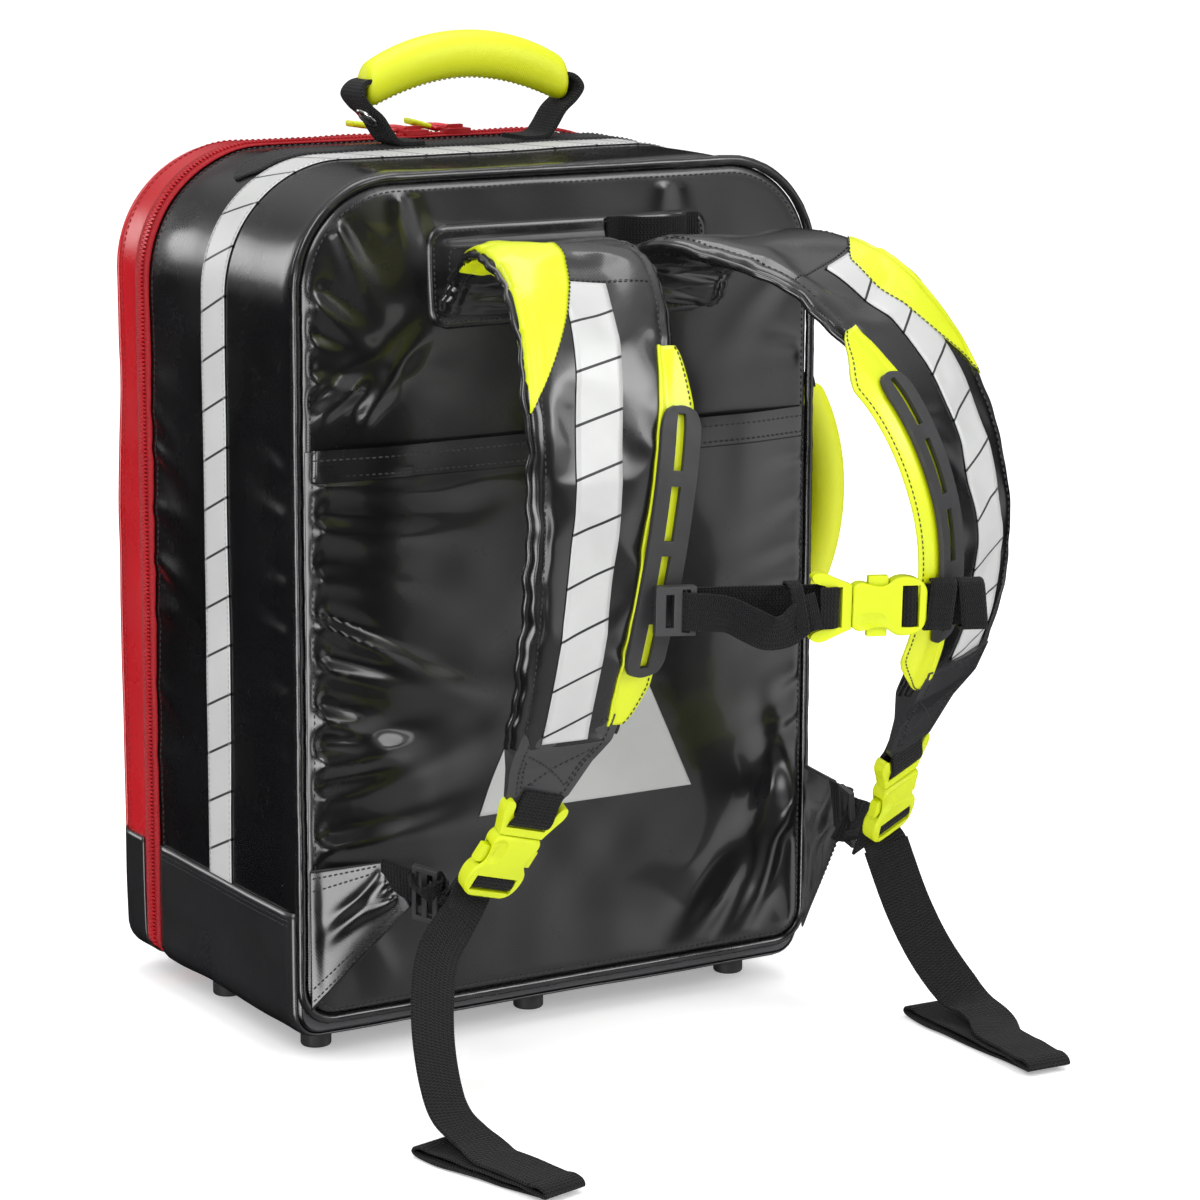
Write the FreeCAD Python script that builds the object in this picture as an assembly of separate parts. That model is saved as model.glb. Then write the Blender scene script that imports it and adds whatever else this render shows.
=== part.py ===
"""Trauma backpack: a stiff zipped case with a hinged lid, a padded back panel,
two shoulder straps with a chest strap, two carry handles and side-release buckles.

Working frame: X across the bag, Y from the wearer's side (0 at the back panel) towards the lid,
Z up from the undersides of the feet. Every piece is then moved so that the origin lies on the
ground under the middle of the whole pack.
"""
import FreeCAD, Part
import math
import os

from FreeCAD import Matrix, Vector

# ---------------------------------------------------------------- driving dimensions (mm)
HALF_WIDTH = 153.0          # case, across X
TOP = 450.0                 # case, top face
BOTTOM = 14.0               # case, underside
TOP_RADIUS = 66.0           # case, upper corners
BOTTOM_RADIUS = 14.0        # case, lower corners
WALL = 3.0                  # case, fabric over foam
BACK = 6.0                  # where the case's tube starts behind the back panel
ZIP_Y = 172.0               # where the lid parts from the case
LID_DEPTH = 42.0
LID_ROUND = 13.0            # rounding of the lid's outer edge
BAND_TOP = 80.0             # seam of the reinforced bottom
BAND_THICK = 1.5
SKIN_GAP = 0.1              # between a sewn-on skin and what it lies on
TAPE_THICK = 1.0
TAPE_WIDTH = 9.0
WEBBING = 25.0              # main webbing, width
WEBBING_THICK = 2.0
CHEST_WEBBING = 20.0
PANEL_HALF = 150.0          # back panel, across X
PANEL_BOTTOM = 26.0
PANEL_TOP = 446.0
PANEL_TOP_RADIUS = 52.0
PANEL_BOTTOM_RADIUS = 16.0
PIPING_RADIUS = 2.2
POCKET_TOP = 316.0
POCKET_DEPTH = 6.0          # room inside the flat pocket
POCKET_SKIN = 2.0
STRIPE_WIDTH = 26.0
STRIPE_Y = 89.0
HANDLE_Y = 117.0            # top carry handle, middle of its webbing
HANDLE_X = 8.0
SIDE_HANDLE_Y = 58.0
SIDE_HANDLE_Z = 258.0
HANDLE_PIVOT_RISE = 14.4    # handle hinge line above the face that it is sewn to
PAD_THICK = 12.0            # shoulder pad
CENTRE_X = 29.0             # middle of the whole pack's box, straps and side handle included
CENTRE_Y = 11.6

# Shoulder strap routes: x, y, z, half width, then the direction across the strap.
LEFT_STRAP = [
    (-38, -9, 382, 41, 1.0, 0.0, 0.0),
    (-38, -27, 401, 42, 1.0, 0.0, 0.0),
    (-41, -60, 414, 43, 1.0, 0.0, 0.0),
    (-47, -98, 396, 42, 1.0, 0.0, 0.0),
    (-58, -126, 342, 39, 1.0, 0.0, 0.0),
    (-66, -134, 284, 35, 1.0, 0.0, 0.0),
    (-70, -127, 230, 32, 1.0, 0.0, 0.0),
    (-70, -112, 186, 30, 1.0, 0.0, 0.0),
]
RIGHT_STRAP = [
    (46, -12, 382, 39, 1.0, 0.0, 0.0),
    (52, -27, 400, 40, 1.0, -0.05, 0.0),
    (66, -62, 411, 41, 1.0, -0.05, 0.0),
    (94, -110, 398, 41, 0.99, 0.12, 0.0),
    (120, -144, 354, 39, 0.94, 0.34, 0.0),
    (134, -161, 300, 37, 0.90, 0.43, 0.0),
    (139, -157, 246, 34, 0.90, 0.43, 0.0),
    (139, -134, 196, 30, 0.92, 0.38, 0.0),
]
# Free webbing tails, from the buckle to the ground, x, y, z.
LEFT_TAIL = [
    (-104, -74, 91), (-115, -79, 84), (-127, -89, 73), (-140, -110, 52), (-147, -129, 32),
    (-149, -143, 18), (-146, -157, 12),
]
RIGHT_TAIL = [
    (147, -82, 96), (151, -86, 80), (156, -91, 62), (164, -98, 41), (173, -106, 24),
    (179, -113, 15), (180, -126, 12),
]
LEFT_TAIL_ACROSS = Vector(0.94, 0.34, 0)
RIGHT_TAIL_ACROSS = Vector(0.97, -0.24, 0)
LEFT_FOLD_LENGTH = 94.0
RIGHT_FOLD_LENGTH = 118.0
FOLD_HEIGHT = 9.0


# ---------------------------------------------------------------- small helpers
def outline(half, bottom, top, top_radius, bottom_radius, y):
    """Face in the plane Y = y: a rectangle with round upper and lower corners."""
    k = math.sqrt(0.5)

    def arc(cx, cz, radius, sx, sz):
        start = Vector(cx + sx * radius, y, cz)
        middle = Vector(cx + sx * radius * k, y, cz + sz * radius * k)
        end = Vector(cx, y, cz + sz * radius)
        return Part.Arc(start, middle, end).toShape(), start, end

    lower_right, lr0, lr1 = arc(half - bottom_radius, bottom + bottom_radius, bottom_radius, 1, -1)
    upper_right, ur0, ur1 = arc(half - top_radius, top - top_radius, top_radius, 1, 1)
    upper_left, ul0, ul1 = arc(-half + top_radius, top - top_radius, top_radius, -1, 1)
    lower_left, ll0, ll1 = arc(-half + bottom_radius, bottom + bottom_radius, bottom_radius, -1, -1)
    sides = [
        Part.makeLine(lr0, ur0),
        Part.makeLine(ur1, ul1),
        Part.makeLine(ul0, ll0),
        Part.makeLine(ll1, lr1),
    ]
    corners = [lower_right, upper_right, upper_left, lower_left]
    return Part.Wire(Part.sortEdges(corners + sides)[0])


def slab(half, bottom, top, top_radius, bottom_radius, y0, y1):
    face = Part.Face(outline(half, bottom, top, top_radius, bottom_radius, y0))
    return face.extrude(Vector(0, y1 - y0, 0))


def case_slab(grow, y0, y1):
    """The case's outline, grown by an even amount, between two depths."""
    return slab(
        HALF_WIDTH + grow,
        BOTTOM - grow,
        TOP + grow,
        TOP_RADIUS + grow,
        BOTTOM_RADIUS + grow,
        y0,
        y1,
    )


def case_skin(low, high, y0, y1):
    """A thin ring round the case, from one height above its surface to another."""
    return case_slab(high, y0, y1).cut(case_slab(low, y0, y1))


def box(x0, y0, z0, x1, y1, z1):
    return Part.makeBox(x1 - x0, y1 - y0, z1 - z0, Vector(x0, y0, z0))


def above(shape, z):
    return shape.common(box(-400, -400, z, 400, 400, 900))


def below(shape, z):
    return shape.common(box(-400, -400, -50, 400, 400, z))


def round_edges(shape, radius, wanted):
    edges = [edge for edge in shape.Edges if wanted(edge)]
    return shape.makeFillet(radius, edges)


def band(points, thickness, width, y):
    """Flat webbing bent in an XZ plane: a polyline of one thickness, centred on Y = y."""
    left = []
    right = []
    last = len(points) - 1
    for i, (x, z) in enumerate(points):
        ahead = Vector(points[min(i + 1, last)][0] - x, 0, points[min(i + 1, last)][1] - z)
        behind = Vector(x - points[max(i - 1, 0)][0], 0, z - points[max(i - 1, 0)][1])
        if i == 0:
            behind = ahead
        if i == last:
            ahead = behind
        ahead.normalize()
        behind.normalize()
        along = ahead + behind
        along.normalize()
        reach = thickness / 2 / max(0.5, along.dot(ahead))
        side = Vector(-along.z, 0, along.x) * reach
        left.append(Vector(x, y - width / 2, z) + side)
        right.append(Vector(x, y - width / 2, z) - side)
    ring = left + right[::-1]
    face = Part.Face(Part.makePolygon(ring + [ring[0]]))
    return face.extrude(Vector(0, width, 0))


def spline(rows, t):
    """Smooth curve through the rows: t = 0 at the first row, 1 at the second and so on."""
    last = len(rows) - 1
    i = min(int(t), last - 1)
    f = t - i
    picked = [rows[max(i - 1, 0)], rows[i], rows[i + 1], rows[min(i + 2, last)]]
    values = []
    for a, b, c, d in zip(*picked):
        values.append(
            0.5 * (2 * b + (c - a) * f + (2 * a - 5 * b + 4 * c - d) * f**2 + (3 * b - a - 3 * c + d) * f**3)
        )
    return values


def strap_frame(rows, t):
    """Centre, direction across, outward normal and half width of a strap at t."""
    last = len(rows) - 1
    here = spline(rows, t)
    before = spline(rows, max(t - 0.02, 0))
    after = spline(rows, min(t + 0.02, last))
    along = Vector(*after[:3]) - Vector(*before[:3])
    along.normalize()
    across = Vector(*here[4:7])
    across = across - along * across.dot(along)
    across.normalize()
    return Vector(*here[:3]), across, along.cross(across), here[3]


def section(centre, across, outward, left, right, low, high):
    corners = [
        centre + across * left + outward * low,
        centre + across * right + outward * low,
        centre + across * right + outward * high,
        centre + across * left + outward * high,
    ]
    return Part.makePolygon(corners + [corners[0]])


def strap_layer(rows, t0, t1, count, edges, low, high):
    """A layer of a shoulder strap between two heights above its middle surface.

    edges(f, half) gives its left and right limits across the strap, f running from 0 to 1.
    """
    wires = []
    for i in range(count):
        f = i / (count - 1)
        centre, across, outward, half = strap_frame(rows, t0 + (t1 - t0) * f)
        left, right = edges(f, half)
        wires.append(section(centre, across, outward, left, right, low, high))
    return Part.makeLoft(wires, True, True)


def bend_radius(before, here, after):
    """Radius of the tangent arc that 0.45 of the shorter run allows at a point of a route."""
    first = Vector(*here) - Vector(*before)
    second = Vector(*after) - Vector(*here)
    return 0.45 * min(first.Length, second.Length) / math.tan(first.getAngle(second) / 2)


def flat_run(points, across, width, thickness):
    """Webbing through free points, with one direction across."""
    wires = []
    last = len(points) - 1
    for i, point in enumerate(points):
        along = Vector(*points[min(i + 1, last)]) - Vector(*points[max(i - 1, 0)])
        along.normalize()
        side = across - along * across.dot(along)
        side.normalize()
        out = along.cross(side)
        wires.append(
            section(Vector(*point), side, out, -width / 2, width / 2, -thickness / 2, thickness / 2)
        )
    return Part.makeLoft(wires, True, True)


def placed(shape, origin, u, v, n):
    """Carry a piece from its own axes X, Y, Z to origin and the directions u, v, n."""
    matrix = Matrix(
        u.x, v.x, n.x, origin.x,
        u.y, v.y, n.y, origin.y,
        u.z, v.z, n.z, origin.z,
        0, 0, 0, 1,
    )
    return shape.transformed(matrix, True)


def right_handed(u, across):
    """Axes for a flat fitting: u along it, v across it, n out of its face."""
    u.normalize()
    v = across - u * across.dot(u)
    v.normalize()
    return u, v, u.cross(v)


parts = {}


def add_to(name, shape):
    """A pair of like pieces shares one node."""
    both = parts[name].Solids if name in parts else []
    parts[name] = Part.makeCompound(both + shape.Solids)


# ---------------------------------------------------------------- case
def build_case():
    tube = case_skin(-WALL, 0, BACK, ZIP_Y - 2)
    parts["shell_walls"] = tube
    inset = WALL + 0.5
    parts["back_stiffener"] = slab(
        HALF_WIDTH - inset, BOTTOM + inset, TOP - inset, TOP_RADIUS - inset, BOTTOM_RADIUS - inset,
        BACK, BACK + 4,
    )
    floor = BOTTOM + WALL
    parts["bottom_board"] = box(-138, BACK + 5, floor, 138, ZIP_Y - 6, floor + 4)
    wrap = case_skin(SKIN_GAP, BAND_THICK, BACK + 4, ZIP_Y - TAPE_WIDTH - 2.5)
    parts["base_band"] = below(wrap, BAND_TOP)
    half = STRIPE_WIDTH / 2
    stripe = case_skin(SKIN_GAP, 0.9, STRIPE_Y - half, STRIPE_Y + half)
    parts["reflective_stripe_body"] = above(stripe, BAND_TOP + 0.3)
    tape = case_skin(SKIN_GAP, TAPE_THICK, ZIP_Y - TAPE_WIDTH - 2, ZIP_Y - 0.6)
    parts["zip_tape_body"] = above(tape, BOTTOM + 4)


def build_feet():
    feet = []
    for x in (-127, 0, 127):
        for y in (36, 138):
            foot = Part.makeCylinder(8, BOTTOM - BAND_THICK, Vector(x, y, 0))
            feet.append(round_edges(foot, 1.5, lambda edge: abs(edge.CenterOfMass.z) < 0.01))
    parts["rubber_feet"] = Part.makeCompound(feet)


def build_back_panel():
    parts["back_panel"] = slab(
        PANEL_HALF, PANEL_BOTTOM, PANEL_TOP, PANEL_TOP_RADIUS, PANEL_BOTTOM_RADIUS, 0, BACK
    )
    grow = PIPING_RADIUS + 0.2
    path = outline(
        PANEL_HALF + grow, PANEL_BOTTOM - grow, PANEL_TOP + grow,
        PANEL_TOP_RADIUS + grow, PANEL_BOTTOM_RADIUS + grow, BACK / 2,
    )
    start = path.Edges[0].valueAt(path.Edges[0].FirstParameter)
    heading = path.Edges[0].tangentAt(path.Edges[0].FirstParameter)
    ring = Part.Wire(Part.makeCircle(PIPING_RADIUS, start, heading))
    parts["panel_piping"] = path.makePipeShell([ring], True, False)

    outer_y = -POCKET_DEPTH - POCKET_SKIN
    bag = slab(
        PANEL_HALF - 3, PANEL_BOTTOM + 3, POCKET_TOP, 2, PANEL_BOTTOM_RADIUS - 3, outer_y, 0
    )
    room = slab(
        PANEL_HALF - 7, PANEL_BOTTOM + 7, POCKET_TOP + 20, 2, PANEL_BOTTOM_RADIUS - 7,
        -POCKET_DEPTH, 0,
    )
    parts["back_pocket"] = bag.cut(room)
    face_y = outer_y - SKIN_GAP
    corners = [(-54, 121), (75, 121), (36, 205), (-15, 205)]
    ring = [Vector(x, face_y, z) for x, z in corners]
    patch = Part.Face(Part.makePolygon(ring + [ring[0]]))
    parts["reflective_patch"] = patch.extrude(Vector(0, -0.6, 0))


def build_anchor():
    plate = box(-80, -1.7, 372, 84, -SKIN_GAP, 424)
    parts["strap_anchor_plate"] = round_edges(
        plate, 10, lambda edge: abs(edge.Length - 1.6) < 0.01
    )
    low = 405
    high = 423
    foot = 9
    face_y = -1.7
    reach = -17
    x0 = 24
    x1 = 76
    outer = [
        (x0, face_y), (x0, face_y - 2), (x0 + foot, face_y - 2), (x0 + foot + 5, reach),
        (x1 - foot - 5, reach), (x1 - foot, face_y - 2), (x1, face_y - 2), (x1, face_y),
        (x1 - foot - 2, face_y), (x1 - foot - 7, reach + 2), (x0 + foot + 7, reach + 2),
        (x0 + foot + 2, face_y),
    ]
    ring = [Vector(x, y, low) for x, y in outer]
    loop = Part.Face(Part.makePolygon(ring + [ring[0]]))
    parts["haul_loop"] = loop.extrude(Vector(0, 0, high - low))


# ---------------------------------------------------------------- lid
def lid_block(grow, y0, y1):
    """The lid's outer form, grown evenly, with its front edge rounded."""
    block = case_slab(grow, y0, y1)
    return round_edges(
        block,
        LID_ROUND + grow,
        lambda edge: abs(edge.CenterOfMass.y - y1) < 0.01,
    )


def build_lid():
    start = ZIP_Y + 1
    end = ZIP_Y + LID_DEPTH
    outer = lid_block(0, start, end)
    inner = lid_block(-WALL, start, end - WALL)
    parts["lid_shell"] = outer.cut(inner)
    band_start = start + TAPE_WIDTH + 2.5
    skin = lid_block(BAND_THICK, start, end + BAND_THICK).cut(lid_block(SKIN_GAP, start, end + SKIN_GAP))
    parts["lid_band"] = below(skin, BAND_TOP).common(box(-400, band_start, -50, 400, 400, 400))
    tape = case_skin(SKIN_GAP, TAPE_THICK, start + 0.1, start + TAPE_WIDTH + 2)
    parts["zip_tape_lid"] = above(tape, BOTTOM + 4)
    back = end - WALL - 0.2
    pocket = box(-120, back - 9, 60, 120, back, 250)
    room = box(-117, back - 7, 63, 117, back + 1, 251)
    parts["lid_pocket"] = pocket.cut(room)


def build_slider(name, x, reach):
    """A zip slider on the top run, with a cord loop and tab lying over the lid."""
    deck = TOP + TAPE_THICK + 0.3
    body = box(x - 7, ZIP_Y - 5, deck, x + 7, ZIP_Y + 5, deck + 3)
    bridge = box(x - 4, ZIP_Y - 1.5, deck + 3, x + 4, ZIP_Y + 1.5, deck + 5)
    parts["zip_slider_" + name] = body.fuse(bridge).removeSplitter()
    tab_y = ZIP_Y + 13
    cord = Part.makePolygon([
        Vector(x - 3, ZIP_Y + 5.2, deck + 0.2), Vector(x + 1, ZIP_Y + 5.2, deck + 0.2),
        Vector(x - 7, tab_y + 2, deck + 0.2), Vector(x - 11, tab_y - 2, deck + 0.2),
        Vector(x - 3, ZIP_Y + 5.2, deck + 0.2),
    ])
    cord = Part.Face(cord).extrude(Vector(0, 0, 2))
    tab = box(x - 11 - reach, tab_y - 5, deck + 0.2, x - 9, tab_y + 5, deck + 3.2)
    parts["slider_pull_" + name] = cord.fuse(tab).removeSplitter()


# ---------------------------------------------------------------- carry handles
def handle_pieces():
    """A webbing handle with a moulded grip, spanning X over a sewn face at Z = 0."""
    half_span = 56
    grip_z = 33
    rise = 14
    arc = Part.Arc(
        Vector(-half_span, 0, grip_z), Vector(0, 0, grip_z + rise), Vector(half_span, 0, grip_z)
    ).toShape()
    start = arc.valueAt(arc.FirstParameter)
    heading = arc.tangentAt(arc.FirstParameter)
    grip = Part.Wire([arc]).makePipeShell(
        [Part.Wire(Part.makeCircle(12, start, heading))], True, False
    )
    pivot = HANDLE_PIVOT_RISE
    keep = Part.makeCylinder(WEBBING / 2, 300, Vector(-150, 0, pivot), Vector(1, 0, 0))
    keep = keep.fuse(box(-150, -WEBBING / 2, pivot, 150, WEBBING / 2, 100))
    legs = []
    for side in (-1, 1):
        route = [(46, 1), (50, 12), (63, 22), (65.5, 31), (60, 33.5)]
        leg = band([(side * x, z) for x, z in route], 3, WEBBING, 0)
        legs.append(leg.common(keep))
    legs = [leg.cut(grip) for leg in legs]
    return grip, legs


def build_handles():
    grip, legs = handle_pieces()
    top = TOP + 1.5
    lift = Vector(HANDLE_X, HANDLE_Y, top)
    parts["carry_handle_grip"] = grip.translated(lift)
    parts["carry_handle_webbing"] = Part.makeCompound([leg.translated(lift) for leg in legs])
    slope = Vector(-13, 0, 10)
    slope.normalize()
    outward = Vector(-slope.z, 0, slope.x)
    middle = lift + Vector(-56.5, 0, 17) + outward * 1.6
    parts["handle_snap"] = Part.makeCylinder(7, 2, middle, outward)
    strip = case_skin(SKIN_GAP, 1.4, HANDLE_Y - WEBBING / 2, HANDLE_Y + WEBBING / 2)
    parts["handle_base_strip"] = strip.common(box(-128, 0, 400, 128, 200, 500))
    side_axes = (Vector(0, 0, -1), Vector(0, 1, 0), Vector(1, 0, 0))
    seat = Vector(HALF_WIDTH + 0.5, SIDE_HANDLE_Y, SIDE_HANDLE_Z)
    parts["side_handle_grip"] = placed(grip, seat, *side_axes)
    parts["side_handle_webbing"] = Part.makeCompound(
        [placed(leg, seat, *side_axes) for leg in legs]
    )


# ---------------------------------------------------------------- shoulder straps
def build_strap(name, rows, inner, stripe_shift):
    """One shoulder strap; inner is +1 or -1, the side across it that faces the other strap."""
    last = len(rows) - 1
    top = PAD_THICK / 2
    parts["shoulder_pad_" + name] = strap_layer(
        rows, 0, last, 22, lambda f, half: (-half, half), -top, top
    )
    parts["shoulder_stripe_" + name] = strap_layer(
        rows, 2.5, last - 0.1, 14,
        lambda f, half: (stripe_shift - 12.5, stripe_shift + 12.5), top + 1.0, top + 1.8,
    )

    def teardrop(f, half):
        spread = 20 * math.sin(math.pi * (0.5 + 0.5 * f) ** 1.2) + 1.5
        outer = -inner * half
        return tuple(sorted((outer, outer + inner * 2 * max(spread, 1.0))))

    add_to("shoulder_accents", strap_layer(rows, 1.4, 3.9, 12, teardrop, top + 2.1, top + 2.9))

    def wing(f, half):
        grow = 3 + 11 * math.sin(math.pi * min(1, f * 1.15)) ** 0.6 if f < 0.86 else 3
        return tuple(sorted((inner * (half + 0.5), inner * (half + 0.5 + grow))))

    add_to("inner_wings", strap_layer(rows, 3.5, 6.6, 14, wing, -2, 2))

    def plate(f, half):
        return tuple(sorted((inner * (half - 9), inner * (half + 13))))

    ladder = strap_layer(rows, 3.85, 6.2, 12, plate, top + 0.4, top + 3.4)
    slots = []
    for i in range(4):
        centre, across, outward, half = strap_frame(rows, 4.15 + 0.58 * i)
        ahead = outward.cross(across)
        slot = box(-1.8, -11, 0, 1.8, 11, 12)
        middle = centre + across * inner * (half + 2)
        slots.append(placed(slot, middle, across, ahead, across.cross(ahead)))
    parts["ladder_plate_" + name] = ladder.cut(slots)


def build_end(name, rows, end_point, tip_point):
    """The stitched flap below a pad and the buckle that joins it to the lower webbing."""
    last = len(rows) - 1
    centre, across, outward, half = strap_frame(rows, last)
    run = end_point - centre
    first = section(centre + run * 0.02, across, outward, -half, half, -3.5, 3.5)
    second = section(centre + run * 0.62, across, outward, -20, 20, -2.5, 2.5)
    third = section(centre + run * 0.70, across, outward, -14, 14, -1.5, 1.5)
    parts["strap_end_flap_" + name] = Part.makeLoft([first, second, third], True, True)
    heading = tip_point - end_point
    u, v, n = right_handed(heading, across)
    build_buckle("buckle", name, WEBBING, end_point, u, v, n)
    tongue = box(-6.5, 1 - WEBBING / 2, -1, 0.4, WEBBING / 2 - 1, 1)
    add_to("lower_webbings", placed(tongue, end_point, u, v, n))


def moulded(side, end, thick):
    """A flat moulding: a smooth edge through the points of one side, mirrored, and a straight end."""
    points = [Vector(x, y, -thick / 2) for x, y in side]
    mirrored = [Vector(x, -y, -thick / 2) for x, y in side[::-1]]
    closing = []
    if side[-1][1] > 0:
        edges = []
        for row in (points, mirrored):
            curve = Part.BSplineCurve()
            curve.interpolate(row)
            edges.append(curve.toShape())
        closing = [Part.makeLine(points[-1], mirrored[0])]
    else:
        curve = Part.BSplineCurve()
        curve.interpolate(points + mirrored[1:])
        edges = [curve.toShape()]
    closing.append(Part.makeLine(mirrored[-1], points[0]))
    face = Part.Face(Part.Wire(Part.sortEdges(edges + closing)[0]))
    return face.extrude(Vector(0, 0, thick))


def buckle_pieces(webbing):
    """Side-release buckle along X: male bar at 0, female window at the far end."""
    half = webbing / 2 + 4.5
    thick = 9.0
    length = 50.0
    bar = 12.0
    start = bar + 0.5
    flank = [
        (start, half - 4.5), (start + 5, half - 2.6), (start + 9, half - 3.6),
        (start + 17, half - 3.8), (start + 21, half - 1), (length - 10, half),
        (length - 3, half - 2.5), (length, half - 8),
    ]
    female = moulded(flank, length, thick)
    rim = [edge for edge in female.Edges if abs(edge.CenterOfMass.z) > thick / 2 - 0.01]
    female = female.makeFillet(1.6, rim)
    cavity = box(start - 1, -half + 4.6, -2.6, start + 25, half - 4.6, 2.6)
    gate = box(start + 7, -half - 1, -2.6, start + 19, half + 1, 2.6)
    reach = webbing / 2 + 0.3
    window = box(length - 13, -reach, -20, length - 4, reach, 20)
    cross_bar = box(length - 9.6, -reach - 1, -2, length - 7.4, reach + 1, 2)
    press = Part.makeCylinder(9, 5, Vector(start + 7, 7 - half, thick / 2 + 7.4), Vector(1, 0, 0))
    press = press.fuse(Part.makeSphere(9, Vector(start + 7, 7 - half, thick / 2 + 7.4)))
    press = press.fuse(Part.makeSphere(9, Vector(start + 12, 7 - half, thick / 2 + 7.4)))
    female = female.cut([cavity, gate, press, window]).fuse(cross_bar)
    horn = [
        (bar, half - 3.6), (8, half - 2), (2, half + 0.6), (-5, half + 2.4), (-8, half + 0.6),
        (-6, half - 2.4), (-1, half - 4.1), (1.5, half - 7), (1.6, 0),
    ]
    male = moulded(horn, 0, 6.0)
    male = male.cut(box(4, -webbing / 2, -10, 7.4, webbing / 2, 10))
    tongue = box(bar - 1, -2, -2, start + 22, 2, 2)
    male = male.fuse(tongue).removeSplitter()
    prongs = []
    for side in (-1, 1):
        root = half - 9.5
        y0, y1 = sorted((side * root, side * (half - 5.5)))
        arm = box(bar + 0.5, y0, -2, start + 21, y1, 2)
        y0, y1 = sorted((side * (half - 5.5), side * (half + 0.4)))
        button = box(start + 8, y0, -2, start + 18, y1, 2)
        prongs.append(arm.fuse(button).removeSplitter())
    return female, male, prongs


def build_buckle(kind, name, webbing, origin, u, v, n):
    female, male, prongs = buckle_pieces(webbing)
    stem = kind + "_"
    parts[stem + "female_" + name] = placed(female, origin, u, v, n)
    parts[stem + "male_" + name] = placed(male, origin, u, v, n)
    parts[stem + "prong_low_" + name] = placed(prongs[0], origin, u, v, n)
    parts[stem + "prong_high_" + name] = placed(prongs[1], origin, u, v, n)


# ---------------------------------------------------------------- lower wings and tails
def build_wing(name, side, base_high, tip_high, tip_low, buckle_end):
    base_x = side * (PANEL_HALF - 4)
    base_y = -POCKET_DEPTH - POCKET_SKIN - 2.2
    thick = Vector(side * 0.8, -1.2, 0)
    base = [Vector(base_x, base_y, base_high), Vector(base_x, base_y, 32)]
    tip = [tip_high, tip_low]

    def leaf(pair):
        ring = [pair[0] - thick, pair[0] + thick, pair[1] + thick, pair[1] - thick]
        return Part.makePolygon(ring + [ring[0]])

    parts["lower_wing_" + name] = Part.makeLoft([leaf(base), leaf(tip)], True, True)
    middle = (tip_high + tip_low) * 0.5
    across = tip_high - tip_low
    run = buckle_end - middle
    u, v, n = right_handed(Vector(run), across)
    length = run.Length - 1
    webbing = box(7.5, -WEBBING / 2, -1, length, WEBBING / 2, 1)
    add_to("lower_webbings", placed(webbing, middle, u, v, n))
    glide = box(9, -16, 1.3, 23, 16, 4.3)
    glide = glide.cut([box(11.5, -13, 0, 14.5, 13, 10), box(17.5, -13, 0, 20.5, 13, 10)])
    add_to("tri_glides", placed(glide, middle, u, v, n))


def build_tail(name, points, across, fold_start, heading, fold_length):
    """A free webbing end: the hanging stretch, and the folded rest lying on the ground."""
    parts["strap_tail_" + name] = flat_run(points, across, WEBBING, WEBBING_THICK)
    u, v, _ = right_handed(heading, across)
    fold = box(0, -WEBBING / 2, 0, fold_length, WEBBING / 2, FOLD_HEIGHT)
    parts["strap_fold_" + name] = placed(fold, fold_start, u, v, Vector(0, 0, 1))


# ---------------------------------------------------------------- chest strap
def build_chest():
    left, across, outward, half = strap_frame(LEFT_STRAP, 5.5)
    left = left + across * (half + 4) + outward * 15.6
    right, across, outward, half = strap_frame(RIGHT_STRAP, 5.8)
    right = right - across * (half + 4) + outward * 22
    u, v, n = right_handed(right - left, Vector(0, 0, 1))
    span = (right - left).Length
    hook = box(-6, -12, -3, 14, 12, 3)
    hook = hook.cut([box(-1, -8, -5, 3, 8, 5), box(7, -10.3, -5, 11, 10.3, 5)])
    parts["chest_hook"] = placed(hook, left, u, v, n)
    buckle_at = span * 0.52
    web = box(12, -CHEST_WEBBING / 2, -5.2, buckle_at + 2, CHEST_WEBBING / 2, -3.4)
    parts["chest_webbing_left"] = placed(web, left, u, v, n)
    origin = left + u * buckle_at
    build_buckle("chest_buckle", "clip", CHEST_WEBBING, origin, u, v, n)
    web = box(buckle_at + 51, -CHEST_WEBBING / 2, -1.2, span + 3, CHEST_WEBBING / 2, 1.2)
    parts["chest_webbing_right"] = placed(web, left, u, v, n)


build_case()
build_feet()
build_back_panel()
build_anchor()
build_lid()
build_slider("a", 8, 24)
build_slider("b", 34, 14)
build_handles()
build_strap("left", LEFT_STRAP, 1, -2)
build_strap("right", RIGHT_STRAP, -1, 6)
build_end("left", LEFT_STRAP, Vector(-78, -98, 146), Vector(-95, -74, 99))
build_end("right", RIGHT_STRAP, Vector(138, -106, 149), Vector(145, -84, 105))
build_wing("left", -1, 106, Vector(-124, -35, 114), Vector(-112, -41, 91), Vector(-98, -66, 97))
build_wing("right", 1, 124, Vector(152, -28, 118), Vector(155, -31, 93), Vector(147, -74, 99))
left_fold_at = Vector(-156, -139, 0.2)
right_fold_at = Vector(174, -82, 0.2)
build_tail("left", LEFT_TAIL, LEFT_TAIL_ACROSS, left_fold_at, Vector(0.24, -0.97, 0), LEFT_FOLD_LENGTH)
build_tail("right", RIGHT_TAIL, RIGHT_TAIL_ACROSS, right_fold_at, Vector(-0.04, -1, 0), RIGHT_FOLD_LENGTH)
build_chest()

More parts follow.
